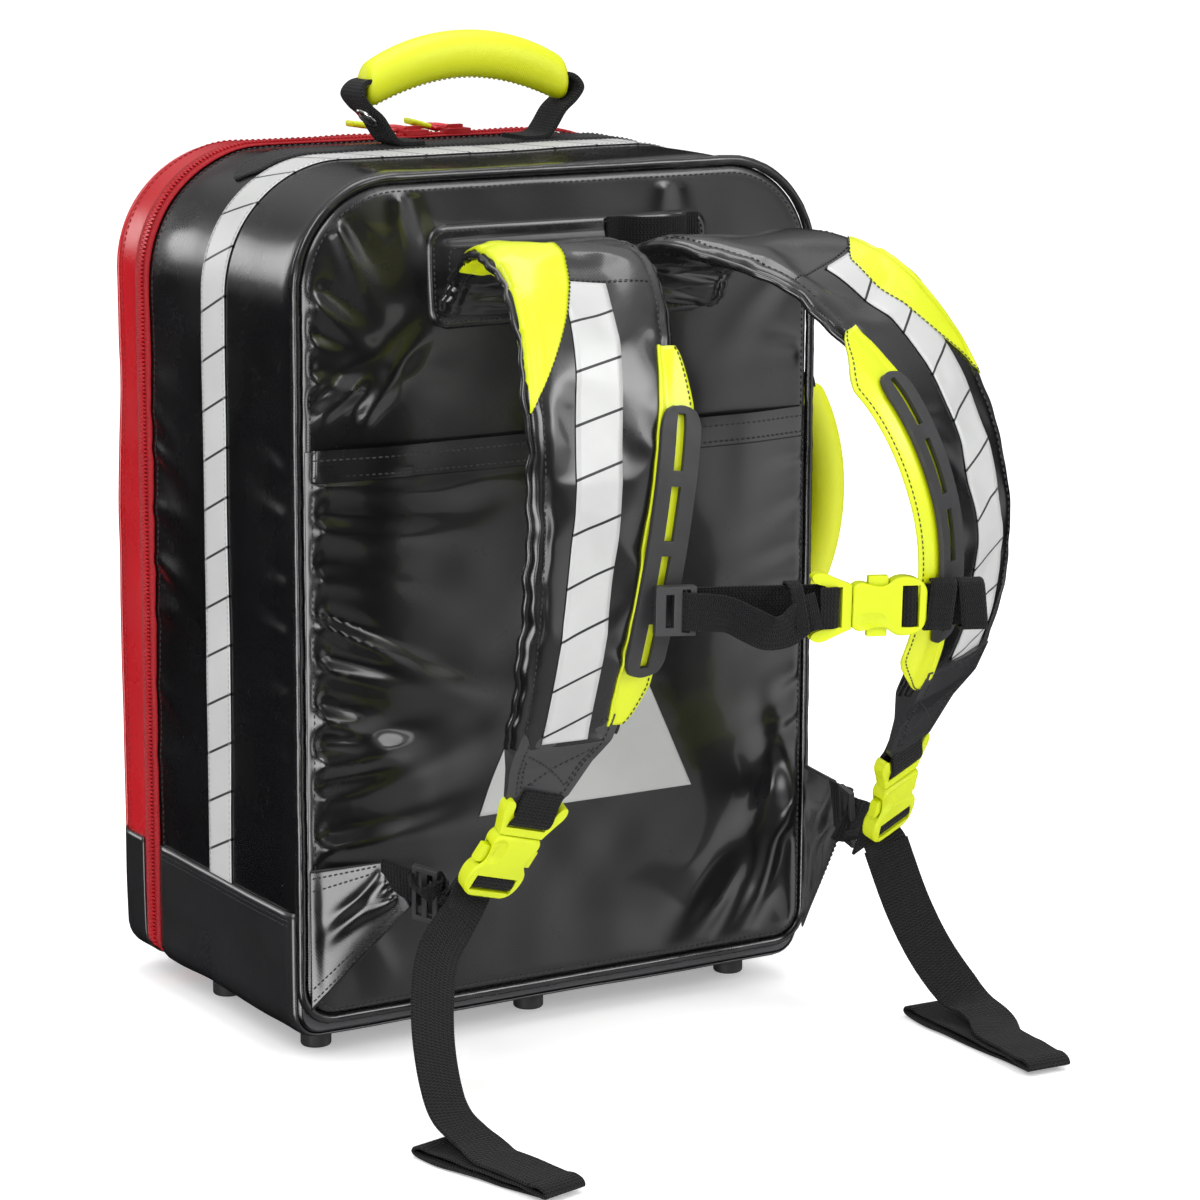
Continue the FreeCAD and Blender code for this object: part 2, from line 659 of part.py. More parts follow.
os.makedirs("parts", exist_ok=True)
shift = Vector(-CENTRE_X, -CENTRE_Y, 0)
for name, shape in parts.items():
    shape = shape.translated(shift)
    if not shape.isValid():
        print("NOT VALID", name)
    shape.exportStep("parts/" + name + ".step")
print(len(parts), "nodes")
for name, route in (("left", LEFT_TAIL), ("right", RIGHT_TAIL)):
    radii = [round(bend_radius(*route[i - 1:i + 2])) for i in range(1, len(route) - 1)]
    print("free webbing end", name, "bend radii in mm:", radii)
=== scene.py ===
"""Trauma backpack: its looks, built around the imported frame.

Shapes are worked out in millimetres in the maker's frame (X across the bag from its middle, Y from the
back panel towards the lid, Z up from the ground) and become metres of the row frame as they are built.
"""
import math

import bpy
import numpy as np
from mathutils import Matrix, Vector
from mathutils.bvhtree import BVHTree


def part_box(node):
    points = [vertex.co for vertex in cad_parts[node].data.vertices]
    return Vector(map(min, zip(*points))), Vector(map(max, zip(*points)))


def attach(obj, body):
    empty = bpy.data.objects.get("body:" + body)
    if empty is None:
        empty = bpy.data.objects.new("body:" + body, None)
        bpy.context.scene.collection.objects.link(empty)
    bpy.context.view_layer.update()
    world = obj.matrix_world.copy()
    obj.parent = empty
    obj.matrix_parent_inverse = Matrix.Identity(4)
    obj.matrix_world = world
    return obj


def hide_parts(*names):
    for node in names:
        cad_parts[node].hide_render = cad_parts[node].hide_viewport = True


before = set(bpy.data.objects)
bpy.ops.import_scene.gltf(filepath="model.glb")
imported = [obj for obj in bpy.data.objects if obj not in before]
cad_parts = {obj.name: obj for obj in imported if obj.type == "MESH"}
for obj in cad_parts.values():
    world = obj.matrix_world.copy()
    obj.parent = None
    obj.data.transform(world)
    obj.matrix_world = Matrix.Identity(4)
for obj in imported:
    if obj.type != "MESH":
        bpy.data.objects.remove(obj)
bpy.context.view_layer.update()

MM = 0.001
WALL_LOW, WALL_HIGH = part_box("shell_walls")
PANEL_LOW, PANEL_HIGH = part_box("back_panel")
ORIGIN = np.array([(WALL_LOW.x + WALL_HIGH.x) / 2, PANEL_LOW.y, 0.0])


def local(corner):
    """A point of the row frame in the maker's millimetres."""
    return (np.array(corner, float) - ORIGIN) / MM


HALF = local(WALL_HIGH)[0]
BOTTOM = local(WALL_LOW)[2]
TOP = local(WALL_HIGH)[2]
TOP_RADIUS = 66.0
BOTTOM_RADIUS = 14.0
WALL_Y0 = local(WALL_LOW)[1]
WALL_Y1 = local(WALL_HIGH)[1]
LID_Y0 = local(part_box("lid_shell")[0])[1]
LID_Y1 = local(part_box("lid_shell")[1])[1]
LID_ROUND = 13.0
LID_SIDE = LID_Y1 - LID_ROUND - LID_Y0      # the flat of its side, from the zip
LID_ARC = LID_ROUND * math.pi / 2
ZIP_MIDDLE = (WALL_Y1 + LID_Y0) / 2
BAND_TOP = local(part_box("base_band")[1])[2]
PANEL_HALF = local(PANEL_HIGH)[0]
PANEL_BOTTOM = local(PANEL_LOW)[2]
PANEL_TOP = local(PANEL_HIGH)[2]
PANEL_TOP_RADIUS = 52.0
PANEL_BOTTOM_RADIUS = 16.0
POCKET_TOP = local(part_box("back_pocket")[1])[2]
STRIPE_Y = 89.0
STRIPE_WIDTH = 26.0
WEBBING = 25.0
CHEST_WEBBING = 20.0
HANDLE_X = 8.0
HANDLE_Y = 117.0
PAD_RISE = 6.0          # half the thickness of a shoulder pad
TOOTH_PITCH = 2.1
CLOTH_FRAMES = 20
LAY_REACH = 40.0        # how far a piece looks for the surface that it lies on
FINE_STITCH = (3.0, 2.2)        # pitch and length of the finer seams
TIGHT_STITCH = (2.8, 2.2)
FLOOR_HALF = 30.0       # metres
Z = np.array([0.0, 0.0, 1.0])

# ---------------------------------------------------------------- camera
CAMERA_AZIMUTH = math.radians(-31.557)
CAMERA_ELEVATION = math.radians(11.661)
CAMERA_ROLL = math.radians(0.258)
CAMERA_DISTANCE = 2.1367
CAMERA_TARGET = Vector(ORIGIN) + Vector((0.0585, 0.0600, 0.2102))

camera_data = bpy.data.cameras.new("camera")
camera_data.lens = 120.0
camera_data.sensor_width = 36.0
camera = bpy.data.objects.new("camera", camera_data)
back = Vector((
    math.sin(CAMERA_AZIMUTH) * math.cos(CAMERA_ELEVATION),
    -math.cos(CAMERA_AZIMUTH) * math.cos(CAMERA_ELEVATION),
    math.sin(CAMERA_ELEVATION),
))
level = Vector((math.cos(CAMERA_AZIMUTH), math.sin(CAMERA_AZIMUTH), 0.0))
upright = back.cross(level)
right = level * math.cos(CAMERA_ROLL) + upright * math.sin(CAMERA_ROLL)
camera.matrix_world = Matrix.Translation(CAMERA_TARGET + back * CAMERA_DISTANCE) @ Matrix(
    (right, back.cross(right), back)
).transposed().to_4x4()
bpy.context.scene.collection.objects.link(camera)
bpy.context.scene.camera = camera


# ---------------------------------------------------------------- numbers
def smooth(x):
    """Eases from 0 to 1 as x does; flat beyond them."""
    x = np.clip(x, 0, 1)
    return x * x * (3 - 2 * x)


def mesh_of(rows, columns):
    """Two arrays that hold each row's and each column's value."""
    return np.meshgrid(rows, columns, indexing="ij")


def unit(v):
    v = np.asarray(v, float)
    return v / np.maximum(np.linalg.norm(v, axis=-1, keepdims=True), 1e-9)


def noise(u, v, size, seed):
    """Smooth random relief between -1 and 1, with lumps of that size."""
    lattice = np.random.default_rng(seed).uniform(-1, 1, (97, 97))
    u = np.asarray(u, float) / size + 31.7
    v = np.asarray(v, float) / size + 17.3
    i = np.floor(u).astype(int)
    j = np.floor(v).astype(int)
    f = smooth(u - i)
    g = smooth(v - j)
    low = lattice[i % 97, j % 97] * (1 - f) + lattice[(i + 1) % 97, j % 97] * f
    high = lattice[i % 97, (j + 1) % 97] * (1 - f) + lattice[(i + 1) % 97, (j + 1) % 97] * f
    return low * (1 - g) + high * g


def pleat(u, v, u0, v0, angle, length, width, depth, bend=0.0):
    """A fold that starts sharp at a seam and widens as it dies away from it."""
    a = (u - u0) * math.cos(angle) + (v - v0) * math.sin(angle)
    b = (v - v0) * math.cos(angle) - (u - u0) * math.sin(angle) - bend * a * a / length
    share = np.clip(a / length, 0, 1)
    wide = width * (0.45 + 0.9 * share)
    fade = smooth(share * 12) * (1 - share) ** 1.25
    ridge = np.exp(-((b / wide) ** 2)) - 0.6 * np.exp(-(((b - 1.5 * wide) / (1.1 * wide)) ** 2))
    return depth * fade * ridge


def crease(u, v, u0, v0, angle, length, width, depth, bend=0.0):
    """A fold that is deepest at its middle and dies away at both ends."""
    a = (u - u0) * math.cos(angle) + (v - v0) * math.sin(angle)
    b = (v - v0) * math.cos(angle) - (u - u0) * math.sin(angle) - bend * a * a / length
    fade = np.clip(1 - (2 * a / length) ** 2, 0, 1) ** 1.5
    ridge = np.exp(-((b / width) ** 2)) - 0.5 * np.exp(-(((b - 1.6 * width) / (1.2 * width)) ** 2))
    return depth * fade * ridge


def spline(rows, t):
    """Smooth curve through the rows: t = 0 at the first row, 1 at the second and so on."""
    last = len(rows) - 1
    i = min(int(t), last - 1)
    f = t - i
    a, b, c, d = (np.array(rows[k], float) for k in (max(i - 1, 0), i, i + 1, min(i + 2, last)))
    return 0.5 * (2 * b + (c - a) * f + (2 * a - 5 * b + 4 * c - d) * f**2 + (3 * b - a - 3 * c + d) * f**3)


def curve_through(points, count):
    """A smooth line of count points through the given ones."""
    last = len(points) - 1
    return np.array([spline(points, last * i / (count - 1)) for i in range(count)])


def lengths(path):
    """Distance along a line of points, at each of them."""
    return np.concatenate([[0.0], np.cumsum(np.linalg.norm(np.diff(path, axis=0), axis=1))])


def tangents(path, closed=False):
    """Direction of a line of points, at each of them."""
    if closed:
        return unit(np.roll(path, -1, 0) - np.roll(path, 1, 0))
    return unit(np.gradient(path, axis=0))


# ---------------------------------------------------------------- mesh pieces
def piece(name, points, faces, body, uv=None, look=None, sharp=40):
    """A mesh from millimetre points, on a body. uv has one pair per face corner, in millimetres."""
    mesh = bpy.data.meshes.new(name)
    mesh.from_pydata((np.asarray(points) * MM + ORIGIN).tolist(), [], [tuple(f) for f in faces])
    if uv is not None:
        mesh.uv_layers.new(name="cloth").data.foreach_set("uv", (np.asarray(uv) * MM).ravel())
    mesh.validate()
    mesh.shade_smooth()
    mesh.set_sharp_from_angle(angle=math.radians(sharp))
    made = bpy.data.objects.new(name, mesh)
    bpy.context.scene.collection.objects.link(made)
    if look is not None:
        mesh.materials.append(look)
    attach(made, body)
    return made


def grid(name, points, body, look, wrap=(False, False), caps=False, holes=None, sharp=40):
    """A mesh over rows and columns of points, with cloth coordinates measured along them."""
    nu, nv = points.shape[:2]
    row = np.arange(nu if wrap[0] else nu - 1)
    column = np.arange(nv if wrap[1] else nv - 1)
    i, j = (m.ravel() for m in mesh_of(row, column))
    if holes is not None:
        kept = ~holes[i, j]
        i, j = i[kept], j[kept]
    i1, j1 = i + 1, j + 1
    faces = np.stack([i * nv + j, (i1 % nu) * nv + j, (i1 % nu) * nv + j1 % nv, i * nv + j1 % nv], 1)
    closed_u = np.concatenate([points, points[:1]], 0)
    closed_v = np.concatenate([points, points[:, :1]], 1)
    u = np.concatenate([[0], np.cumsum(np.linalg.norm(np.diff(closed_u, axis=0), axis=2).mean(1))])
    v = np.concatenate([[0], np.cumsum(np.linalg.norm(np.diff(closed_v, axis=1), axis=2).mean(0))])
    uv = np.stack([np.stack([v[b], u[a]], 1) for a, b in ((i, j), (i1, j), (i1, j1), (i, j1))], 1)
    faces = faces.tolist()
    uv = uv.reshape(-1, 2).tolist()
    if caps:
        for ring in (np.arange(nv), ((nu - 1) * nv + np.arange(nv))[::-1]):
            faces.append(ring.tolist())
            uv += [[v[k % nv], 0.0] for k in range(nv)]
    return piece(name, points.reshape(-1, 3), faces, body, uv, look, sharp)


def thicken(made, thickness, offset=1.0):
    """Gives a sheet a thickness: outwards for offset 1, inwards for -1, both ways for 0."""
    solid = made.modifiers.new("thickness", "SOLIDIFY")
    solid.thickness = thickness * MM
    solid.offset = offset
    return made


def round_off(made):
    """Smooths a mesh by one level of subdivision."""
    fine = made.modifiers.new("fine", "SUBSURF")
    fine.levels = 1
    fine.render_levels = 1
    return made


def bevel(made, width, angle):
    """Softens the sharp edges of a mesh; edges flatter than angle degrees stay."""
    soft = made.modifiers.new("edge", "BEVEL")
    soft.width = width * MM
    soft.segments = 2
    soft.limit_method = "ANGLE"
    soft.angle_limit = math.radians(angle)
    return soft


def tube(name, path, radius, body, look, closed=False, sides=8):
    """A round cord along a path."""
    path = np.asarray(path, float)
    along = tangents(path, closed)
    side = np.zeros_like(path)
    side[0] = unit(np.cross(along[0], Z + [0.01, 0.02, 0]))
    for i in range(1, len(path)):
        side[i] = unit(side[i - 1] - along[i] * (side[i - 1] @ along[i]))
    other = np.cross(side, along)
    radius = np.broadcast_to(np.asarray(radius, float), (len(path),))
    angle = np.linspace(0, 2 * math.pi, sides, endpoint=False)
    points = (
        path[:, None]
        + side[:, None] * np.cos(angle)[None, :, None] * radius[:, None, None]
        + other[:, None] * np.sin(angle)[None, :, None] * radius[:, None, None]
    )
    return grid(name, points, body, look, wrap=(closed, True), caps=not closed, sharp=60)


def ribbon(name, path, across, width, thickness, body, look):
    """Flat webbing along a path, rounded at its selvedges, with its ends closed."""
    path = np.asarray(path, float)
    along = tangents(path)
    across = np.broadcast_to(np.asarray(across, float), path.shape)
    side = unit(across - along * np.sum(across * along, 1)[:, None])
    out = np.cross(along, side)
    width = np.broadcast_to(np.asarray(width, float), (len(path),))
    w = width[:, None] / 2
    t = thickness / 2
    edge = 0.35         # how far the selvedges round out
    flat = np.linspace(-1, 1, 7)
    profile = [(f, t, 0) for f in flat] + [(1, 0, edge)] + [(f, -t, 0) for f in flat[::-1]] + [(-1, 0, -edge)]
    points = np.stack(
        [path + side * (w * f + grow) + out * h for f, h, grow in profile], 1
    )
    return grid(name, points, body, look, wrap=(False, True), caps=True, sharp=50)


def lathe(name, profile, origin, axis, body, look):
    """A turned piece: profile gives radius and height along the axis."""
    axis = unit(axis)
    u = unit(np.cross(axis, [0.3, 0.5, 0.81]))
    v = np.cross(u, axis)
    angle = np.linspace(0, 2 * math.pi, 28, endpoint=False)
    ring = np.cos(angle)[:, None] * u + np.sin(angle)[:, None] * v
    points = np.stack([np.asarray(origin) + axis * h + ring * max(r, 0.05) for r, h in profile], 0)
    return grid(name, points, body, look, wrap=(False, True), caps=True)


thread = {}


def sew(body, path, normal, pitch=3.4, length=2.5, radius=0.42, colour="black"):
    """A row of stitches along a path that lies on a surface; build_thread() makes them."""
    path = np.asarray(path, float)
    normal = np.broadcast_to(np.asarray(normal, float), path.shape)
    run = lengths(path)
    where = np.arange(pitch / 2, run[-1] - pitch / 3, pitch)
    ends = []
    for offset in (-length / 2, length / 2):
        at = np.clip(where + offset, 0, run[-1])
        ends.append(np.stack([np.interp(at, run, path[:, k]) for k in range(3)], 1))
    up = unit(np.stack([np.interp(where, run, normal[:, k]) for k in range(3)], 1))
    thread.setdefault((body, colour), []).append((ends[0], ends[1], up, radius))


def build_thread(looks):
    """Makes every stitch that sew() asked for, as one piece for each body and colour."""
    for (body, colour), rows in thread.items():
        points = []
        faces = []
        count = 0
        for start, end, up, radius in rows:
            along = unit(end - start)
            side = np.cross(along, up)
            middle = (start + end) / 2
            rim = []
            for centre in (start * 0.75 + end * 0.25, start * 0.25 + end * 0.75):
                for s, h in ((1, 0), (0, 1), (-1, 0), (0, -1)):
                    rim.append(centre + side * radius * s + up * radius * (h * 0.8 + 0.35))
            stack = np.stack(rim + [start - up * radius * 0.5, end - up * radius * 0.5], 1)
            base = count + np.arange(len(middle)) * 10
            points.append(stack.reshape(-1, 3))
            count += len(middle) * 10
            for k in range(4):
                n = (k + 1) % 4
                faces += [(b + k, b + 4 + k, b + 4 + n, b + n) for b in base]
                faces += [(b + k, b + n, b + 8) for b in base]
                faces += [(b + 4 + n, b + 4 + k, b + 9) for b in base]
        name = "stitching_" + body + ("" if colour == "black" else "_" + colour)
        piece(name, np.concatenate(points), faces, body, look=looks[colour], sharp=80)


def surface_of(made):
    """The piece's surface as it is now, in millimetres, to lay other pieces on."""
    points = np.array([v.co for v in made.data.vertices]) - ORIGIN
    points = points / MM
    return BVHTree.FromPolygons([Vector(p) for p in points], [list(p.vertices) for p in made.data.polygons])


def lay(surface, points, direction, lift):
    """Drops points on a surface along a direction, and raises them from it by lift."""
    shape = points.shape
    points = points.reshape(-1, 3)
    direction = np.broadcast_to(np.asarray(direction, float), shape).reshape(-1, 3)
    lift = np.broadcast_to(np.asarray(lift, float), shape[:-1]).reshape(-1)
    laid = points.copy()
    for k, (p, d) in enumerate(zip(points, direction)):
        hit = surface.ray_cast(Vector(p - d * LAY_REACH), Vector(d), 2 * LAY_REACH)[0]
        if hit is not None:
            laid[k] = np.array(hit)
        laid[k] = laid[k] - d * lift[k]
    return laid.reshape(shape)


def inflate(made, pressure, cap, grow):
    """Fills a closed mesh by cloth simulation. No point moves further than cap."""
    scene = bpy.context.scene
    rest = np.array([v.co for v in made.data.vertices])
    cloth = made.modifiers.new("Cloth", "CLOTH")
    settings = cloth.settings
    settings.quality = 5
    settings.mass = 0.2
    settings.tension_stiffness = 20
    settings.compression_stiffness = 20
    settings.shear_stiffness = 8
    settings.bending_stiffness = 0.6
    settings.air_damping = 3
    settings.use_pressure = True
    settings.uniform_pressure_force = pressure
    settings.shrink_min = -grow
    settings.effector_weights.gravity = 0
    cloth.collision_settings.use_collision = False
    for number in range(1, CLOTH_FRAMES + 1):
        scene.frame_set(number)
    shown = made.evaluated_get(bpy.context.evaluated_depsgraph_get()).data
    moved = np.array([v.co for v in shown.vertices]) - rest
    size = np.linalg.norm(moved, axis=1, keepdims=True)
    moved = moved * np.minimum(1, cap * MM / np.maximum(size, 1e-9))
    made.modifiers.remove(cloth)
    scene.frame_set(1)
    made.data.vertices.foreach_set("co", (rest + moved).astype(np.float32).ravel())
    made.data.update()


# ---------------------------------------------------------------- materials
class Look:
    """A material and the few node steps that its patterns need."""

    def __init__(self, name, colour, roughness, **sockets):
        self.material = bpy.data.materials.new(name)
        self.material.use_nodes = True
        self.nodes = self.material.node_tree.nodes
        self.links = self.material.node_tree.links
        self.shader = self.nodes["Principled BSDF"]
        self.shader.inputs["Base Color"].default_value = (*colour, 1)
        self.shader.inputs["Roughness"].default_value = roughness
        for socket, value in sockets.items():
            self.shader.inputs[socket.replace("_", " ")].default_value = value
        self.colour = colour
        self.heights = []

    def node(self, kind, **values):
        made = self.nodes.new(kind)
        for key, value in values.items():
            setattr(made, key, value)
        return made

    def math(self, operation, a, b=0.0, c=0.0):
        made = self.node("ShaderNodeMath", operation=operation)
        for socket, value in zip(made.inputs, (a, b, c)):
            if isinstance(value, (int, float)):
                socket.default_value = value
            else:
                self.links.new(value, socket)
        return made.outputs[0]

    def cloth_axes(self):
        """Distances across and along the cloth, in metres."""
        split = self.node("ShaderNodeSeparateXYZ")
        self.links.new(self.node("ShaderNodeUVMap", uv_map="cloth").outputs[0], split.inputs[0])
        return split.outputs[0], split.outputs[1]

    def cloud(self, scale, detail=3.0):
        """Soft noise over the object, with that many lumps to a metre."""
        made = self.node("ShaderNodeTexNoise")
        made.inputs["Scale"].default_value = scale
        made.inputs["Detail"].default_value = detail
        made.inputs["Roughness"].default_value = 0.55
        self.links.new(self.node("ShaderNodeTexCoord").outputs["Object"], made.inputs["Vector"])
        return made.outputs[0]

    def span(self, value, low, high, start=0.3, end=0.7):
        """value's range from start to end, spread from low to high."""
        made = self.node("ShaderNodeMapRange")
        made.inputs["From Min"].default_value = start
        made.inputs["From Max"].default_value = end
        made.inputs["To Min"].default_value = low
        made.inputs["To Max"].default_value = high
        self.links.new(value, made.inputs["Value"])
        return made.outputs[0]

    def wave(self, value, period):
        return self.math("SINE", self.math("MULTIPLY", value, 2 * math.pi / period))

    def tint(self, factor, colour):
        """Mixes another colour into the base colour where factor is 1."""
        mix = self.node("ShaderNodeMix", data_type="RGBA")
        self.links.new(factor, mix.inputs["Factor"])
        base = self.shader.inputs["Base Color"]
        if base.links:
            self.links.new(base.links[0].from_socket, mix.inputs[6])
        else:
            mix.inputs[6].default_value = base.default_value
        mix.inputs[7].default_value = (*colour, 1)
        self.links.new(mix.outputs[2], base)
        return self

    def vary_roughness(self, low, high, scale, detail=3.0):
        self.links.new(self.span(self.cloud(scale, detail), low, high), self.shader.inputs["Roughness"])
        return self

    def raise_by(self, value, distance, strength=1.0):
        """Adds a bump of that height in millimetres."""
        bump = self.node("ShaderNodeBump")
        bump.inputs["Distance"].default_value = distance * MM
        bump.inputs["Strength"].default_value = strength
        self.links.new(value, bump.inputs["Height"])
        if self.shader.inputs["Normal"].links:
            self.links.new(self.shader.inputs["Normal"].links[0].from_socket, bump.inputs["Normal"])
        self.links.new(bump.outputs[0], self.shader.inputs["Normal"])
        return self

    def plain_weave(self, pitch, height):
        """A bump of yarns that cross, at that pitch in millimetres."""
        across, along = self.cloth_axes()
        woven = self.math("MULTIPLY", self.wave(across, pitch * MM), self.wave(along, pitch * MM))
        return self.raise_by(woven, height, 0.6)


def coated(name, colour, faded, roughness, weave=0.05, **sockets):
    """PVC-coated fabric: a gloss film over a scrim that shows faintly through it."""
    look = Look(name, colour, roughness, **sockets)
    look.tint(look.span(look.cloud(9.0, 4.0), 0, 1), faded)
    look.vary_roughness(roughness - 0.05, roughness + 0.1, 26.0, 5.0)
    look.raise_by(look.cloud(160.0, 3.0), 0.25, 0.35)
    look.plain_weave(1.5, weave)
    return look.material


def woven(name, colour, faded, rib=1.7, roughness=0.75):
    """Ribbed webbing: yarns that cross the strap, with fine warp lines along it."""
    look = Look(name, colour, roughness, Sheen_Weight=0.05, Sheen_Roughness=0.4, Specular_IOR_Level=0.2)
    across, along = look.cloth_axes()
    shifted = look.math("ADD", along, look.math("MULTIPLY", look.wave(across, 2.6 * MM), 0.00028))
    ribs = look.wave(shifted, rib * MM)
    warp = look.wave(across, 1.3 * MM)
    look.tint(look.span(ribs, 0, 0.75, 0.1, 1.0), faded)
    look.tint(look.span(look.cloud(300.0, 2.0), 0, 0.5), colour)
    look.raise_by(look.math("MULTIPLY_ADD", warp, 0.3, ribs), 0.3, 0.8)
    return look.material


def moulded(name, colour, faded, roughness, grain=0.04, **sockets):
    """Plastic, rubber or metal with a fine grain."""
    look = Look(name, colour, roughness, **sockets)
    look.tint(look.span(look.cloud(34.0, 4.0), 0, 1), faded)
    look.vary_roughness(roughness - 0.06, roughness + 0.12, 90.0)
    look.raise_by(look.cloud(900.0, 2.0), grain, 0.5)
    return look.material


TAPE_LINE_PITCH = 25.6
TAPE_LINE_SHARE = 0.056         # how much of the pitch a dark line takes
TAPE_SLANT = 0.42


def reflective(name):
    """Glass-bead tape with thin dark lines that slant across it."""
    look = Look(name, (0.53, 0.54, 0.53), 0.45, Metallic=0.15, Sheen_Weight=0.1)
    look.tint(look.span(look.cloud(24.0, 4.0), 0, 0.8), (0.46, 0.465, 0.46))
    across, along = look.cloth_axes()
    slanted = look.math("MULTIPLY_ADD", across, TAPE_SLANT, along)
    place = look.math("FRACT", look.math("DIVIDE", slanted, TAPE_LINE_PITCH * MM))
    look.tint(look.math("LESS_THAN", place, TAPE_LINE_SHARE), (0.015, 0.015, 0.016))
    look.raise_by(look.cloud(2600.0, 1.0), 0.05, 0.4)
    return look.material


def silver(name):
    """Plain glass-bead film."""
    look = Look(name, (0.50, 0.51, 0.50), 0.5, Metallic=0.1, Sheen_Weight=0.1)
    look.tint(look.span(look.cloud(24.0, 4.0), 0, 0.8), (0.45, 0.455, 0.45))
    look.raise_by(look.cloud(2600.0, 1.0), 0.05, 0.4)
    return look.material


BLACK_FILM = dict(Coat_Weight=0.6, Coat_Roughness=0.1, Specular_IOR_Level=0.4)
pvc_black = coated("pvc_black", (0.004, 0.004, 0.0045), (0.008, 0.008, 0.009), 0.22, **BLACK_FILM)
pvc_panel = coated("pvc_panel", (0.004, 0.004, 0.0045), (0.009, 0.009, 0.010), 0.2, 0.05, **BLACK_FILM)
pvc_strap = coated("pvc_strap", (0.005, 0.005, 0.0055), (0.010, 0.010, 0.011), 0.22, 0.03, **BLACK_FILM)
pvc_band = coated("pvc_band", (0.016, 0.016, 0.017), (0.024, 0.024, 0.026), 0.31, **BLACK_FILM)
# The flap's lighter grey base colour is painted reflection: black coated cloth made grey to stand in for
# light reflected up from below.
pvc_flap_painted_reflection = coated("pvc_flap_painted_reflection", (0.030, 0.030, 0.032), (0.042, 0.042, 0.044), 0.3, 0.05, **BLACK_FILM)
pvc_red = coated("pvc_red", (0.50, 0.008, 0.014), (0.40, 0.006, 0.011), 0.27, 0.04, Coat_Weight=0.3,
                 Coat_Roughness=0.15)
pvc_lime = coated("pvc_lime", (0.66, 0.73, 0.003), (0.56, 0.64, 0.003), 0.34, 0.04, Coat_Weight=0.15)
piping_black = moulded("piping_black", (0.006, 0.006, 0.007), (0.012, 0.012, 0.013), 0.22, 0.08,
                       Coat_Weight=0.3)
webbing = woven("webbing", (0.007, 0.007, 0.008), (0.022, 0.022, 0.023))
webbing_dark = woven("webbing_dark", (0.006, 0.006, 0.007), (0.019, 0.019, 0.020))
webbing_strip = woven("webbing_strip", (0.022, 0.022, 0.023), (0.040, 0.040, 0.042))
elastic = woven("elastic", (0.007, 0.007, 0.008), (0.021, 0.021, 0.022), 1.1)
plastic_lime = moulded("plastic_lime", (0.62, 0.71, 0.003), (0.56, 0.65, 0.003), 0.38,
                       Subsurface_Weight=0.12, Subsurface_Scale=0.004, Subsurface_Radius=(1.0, 0.9, 0.1))
grip_lime = coated("grip_lime", (0.66, 0.71, 0.003), (0.58, 0.64, 0.003), 0.42, 0.05)
plastic_grey = moulded("plastic_grey", (0.028, 0.028, 0.030), (0.040, 0.040, 0.042), 0.48, 0.06)
rubber_grey = moulded("rubber_grey", (0.022, 0.022, 0.024), (0.032, 0.032, 0.034), 0.6, 0.1)
rubber_foot = moulded("rubber_foot", (0.020, 0.020, 0.021), (0.034, 0.034, 0.036), 0.6, 0.12)
board = moulded("board", (0.05, 0.05, 0.053), (0.06, 0.06, 0.064), 0.55, 0.1)
zip_tape = woven("zip_tape", (0.36, 0.006, 0.012), (0.50, 0.012, 0.02), 1.2, 0.6)
zip_teeth = moulded("zip_teeth", (0.50, 0.012, 0.02), (0.40, 0.008, 0.014), 0.36)
slider_paint = moulded("slider_paint", (0.48, 0.01, 0.016), (0.36, 0.008, 0.012), 0.3, Metallic=0.3)
tape_silver = reflective("tape_silver")
patch_silver = silver("patch_silver")
steel = moulded("steel", (0.62, 0.61, 0.60), (0.45, 0.44, 0.43), 0.2, 0.02, Metallic=1.0)
thread_black = moulded("thread_black", (0.012, 0.012, 0.013), (0.03, 0.03, 0.032), 0.6, 0.1)
thread_red = moulded("thread_red", (0.30, 0.006, 0.01), (0.4, 0.01, 0.016), 0.6, 0.1)
pocket_film = coated("pocket_film", (0.16, 0.165, 0.17), (0.2, 0.205, 0.21), 0.3, 0.05)


# ---------------------------------------------------------------- the case's outline
def segments(half, bottom, top, top_radius, bottom_radius):
    """Lines and arcs round a case, from the middle of its floor towards -X and back to there."""
    quarter = math.pi / 2
    low, high = bottom + bottom_radius, top - top_radius
    return [
        ("line", (0, bottom), (-half + bottom_radius, bottom)),
        ("arc", (-half + bottom_radius, low), bottom_radius, -quarter),
        ("line", (-half, low), (-half, high)),
        ("arc", (-half + top_radius, high), top_radius, -2 * quarter),
        ("line", (-half + top_radius, top), (half - top_radius, top)),
        ("arc", (half - top_radius, high), top_radius, quarter),
        ("line", (half, high), (half, low)),
        ("arc", (half - bottom_radius, low), bottom_radius, 0.0),
        ("line", (half - bottom_radius, bottom), (0, bottom)),
    ]


def segment_length(segment):
    if segment[0] == "line":
        return math.dist(segment[1], segment[2])
    return segment[2] * math.pi / 2


def walk(ring, steps_of):
    """Points in XZ along a ring of lines and arcs; steps_of gives how many lie on each."""
    points = []
    for part in ring:
        steps = steps_of(part)
        for f in np.arange(steps) / steps:
            if part[0] == "line":
                (x0, z0), (x1, z1) = part[1:]
                points.append([x0 + (x1 - x0) * f, z0 + (z1 - z0) * f])
            else:
                (x0, z0), radius, first = part[1:]
                angle = first - f * math.pi / 2
                points.append([x0 + radius * math.cos(angle), z0 + radius * math.sin(angle)])
    return np.array(points)


CASE = segments(HALF, BOTTOM, TOP, TOP_RADIUS, BOTTOM_RADIUS)
CASE_RUN = np.concatenate([[0.0], np.cumsum([segment_length(s) for s in CASE])])
S_LEFT = CASE_RUN[2]      # where the left side starts, at its foot
S_TOP = CASE_RUN[4]
S_RIGHT = CASE_RUN[6]     # where the right side starts, at its top
S_END = CASE_RUN[-1]


def s_left(z):
    """Run along the case's outline to a height on its left side."""
    return S_LEFT + z - (BOTTOM + BOTTOM_RADIUS)


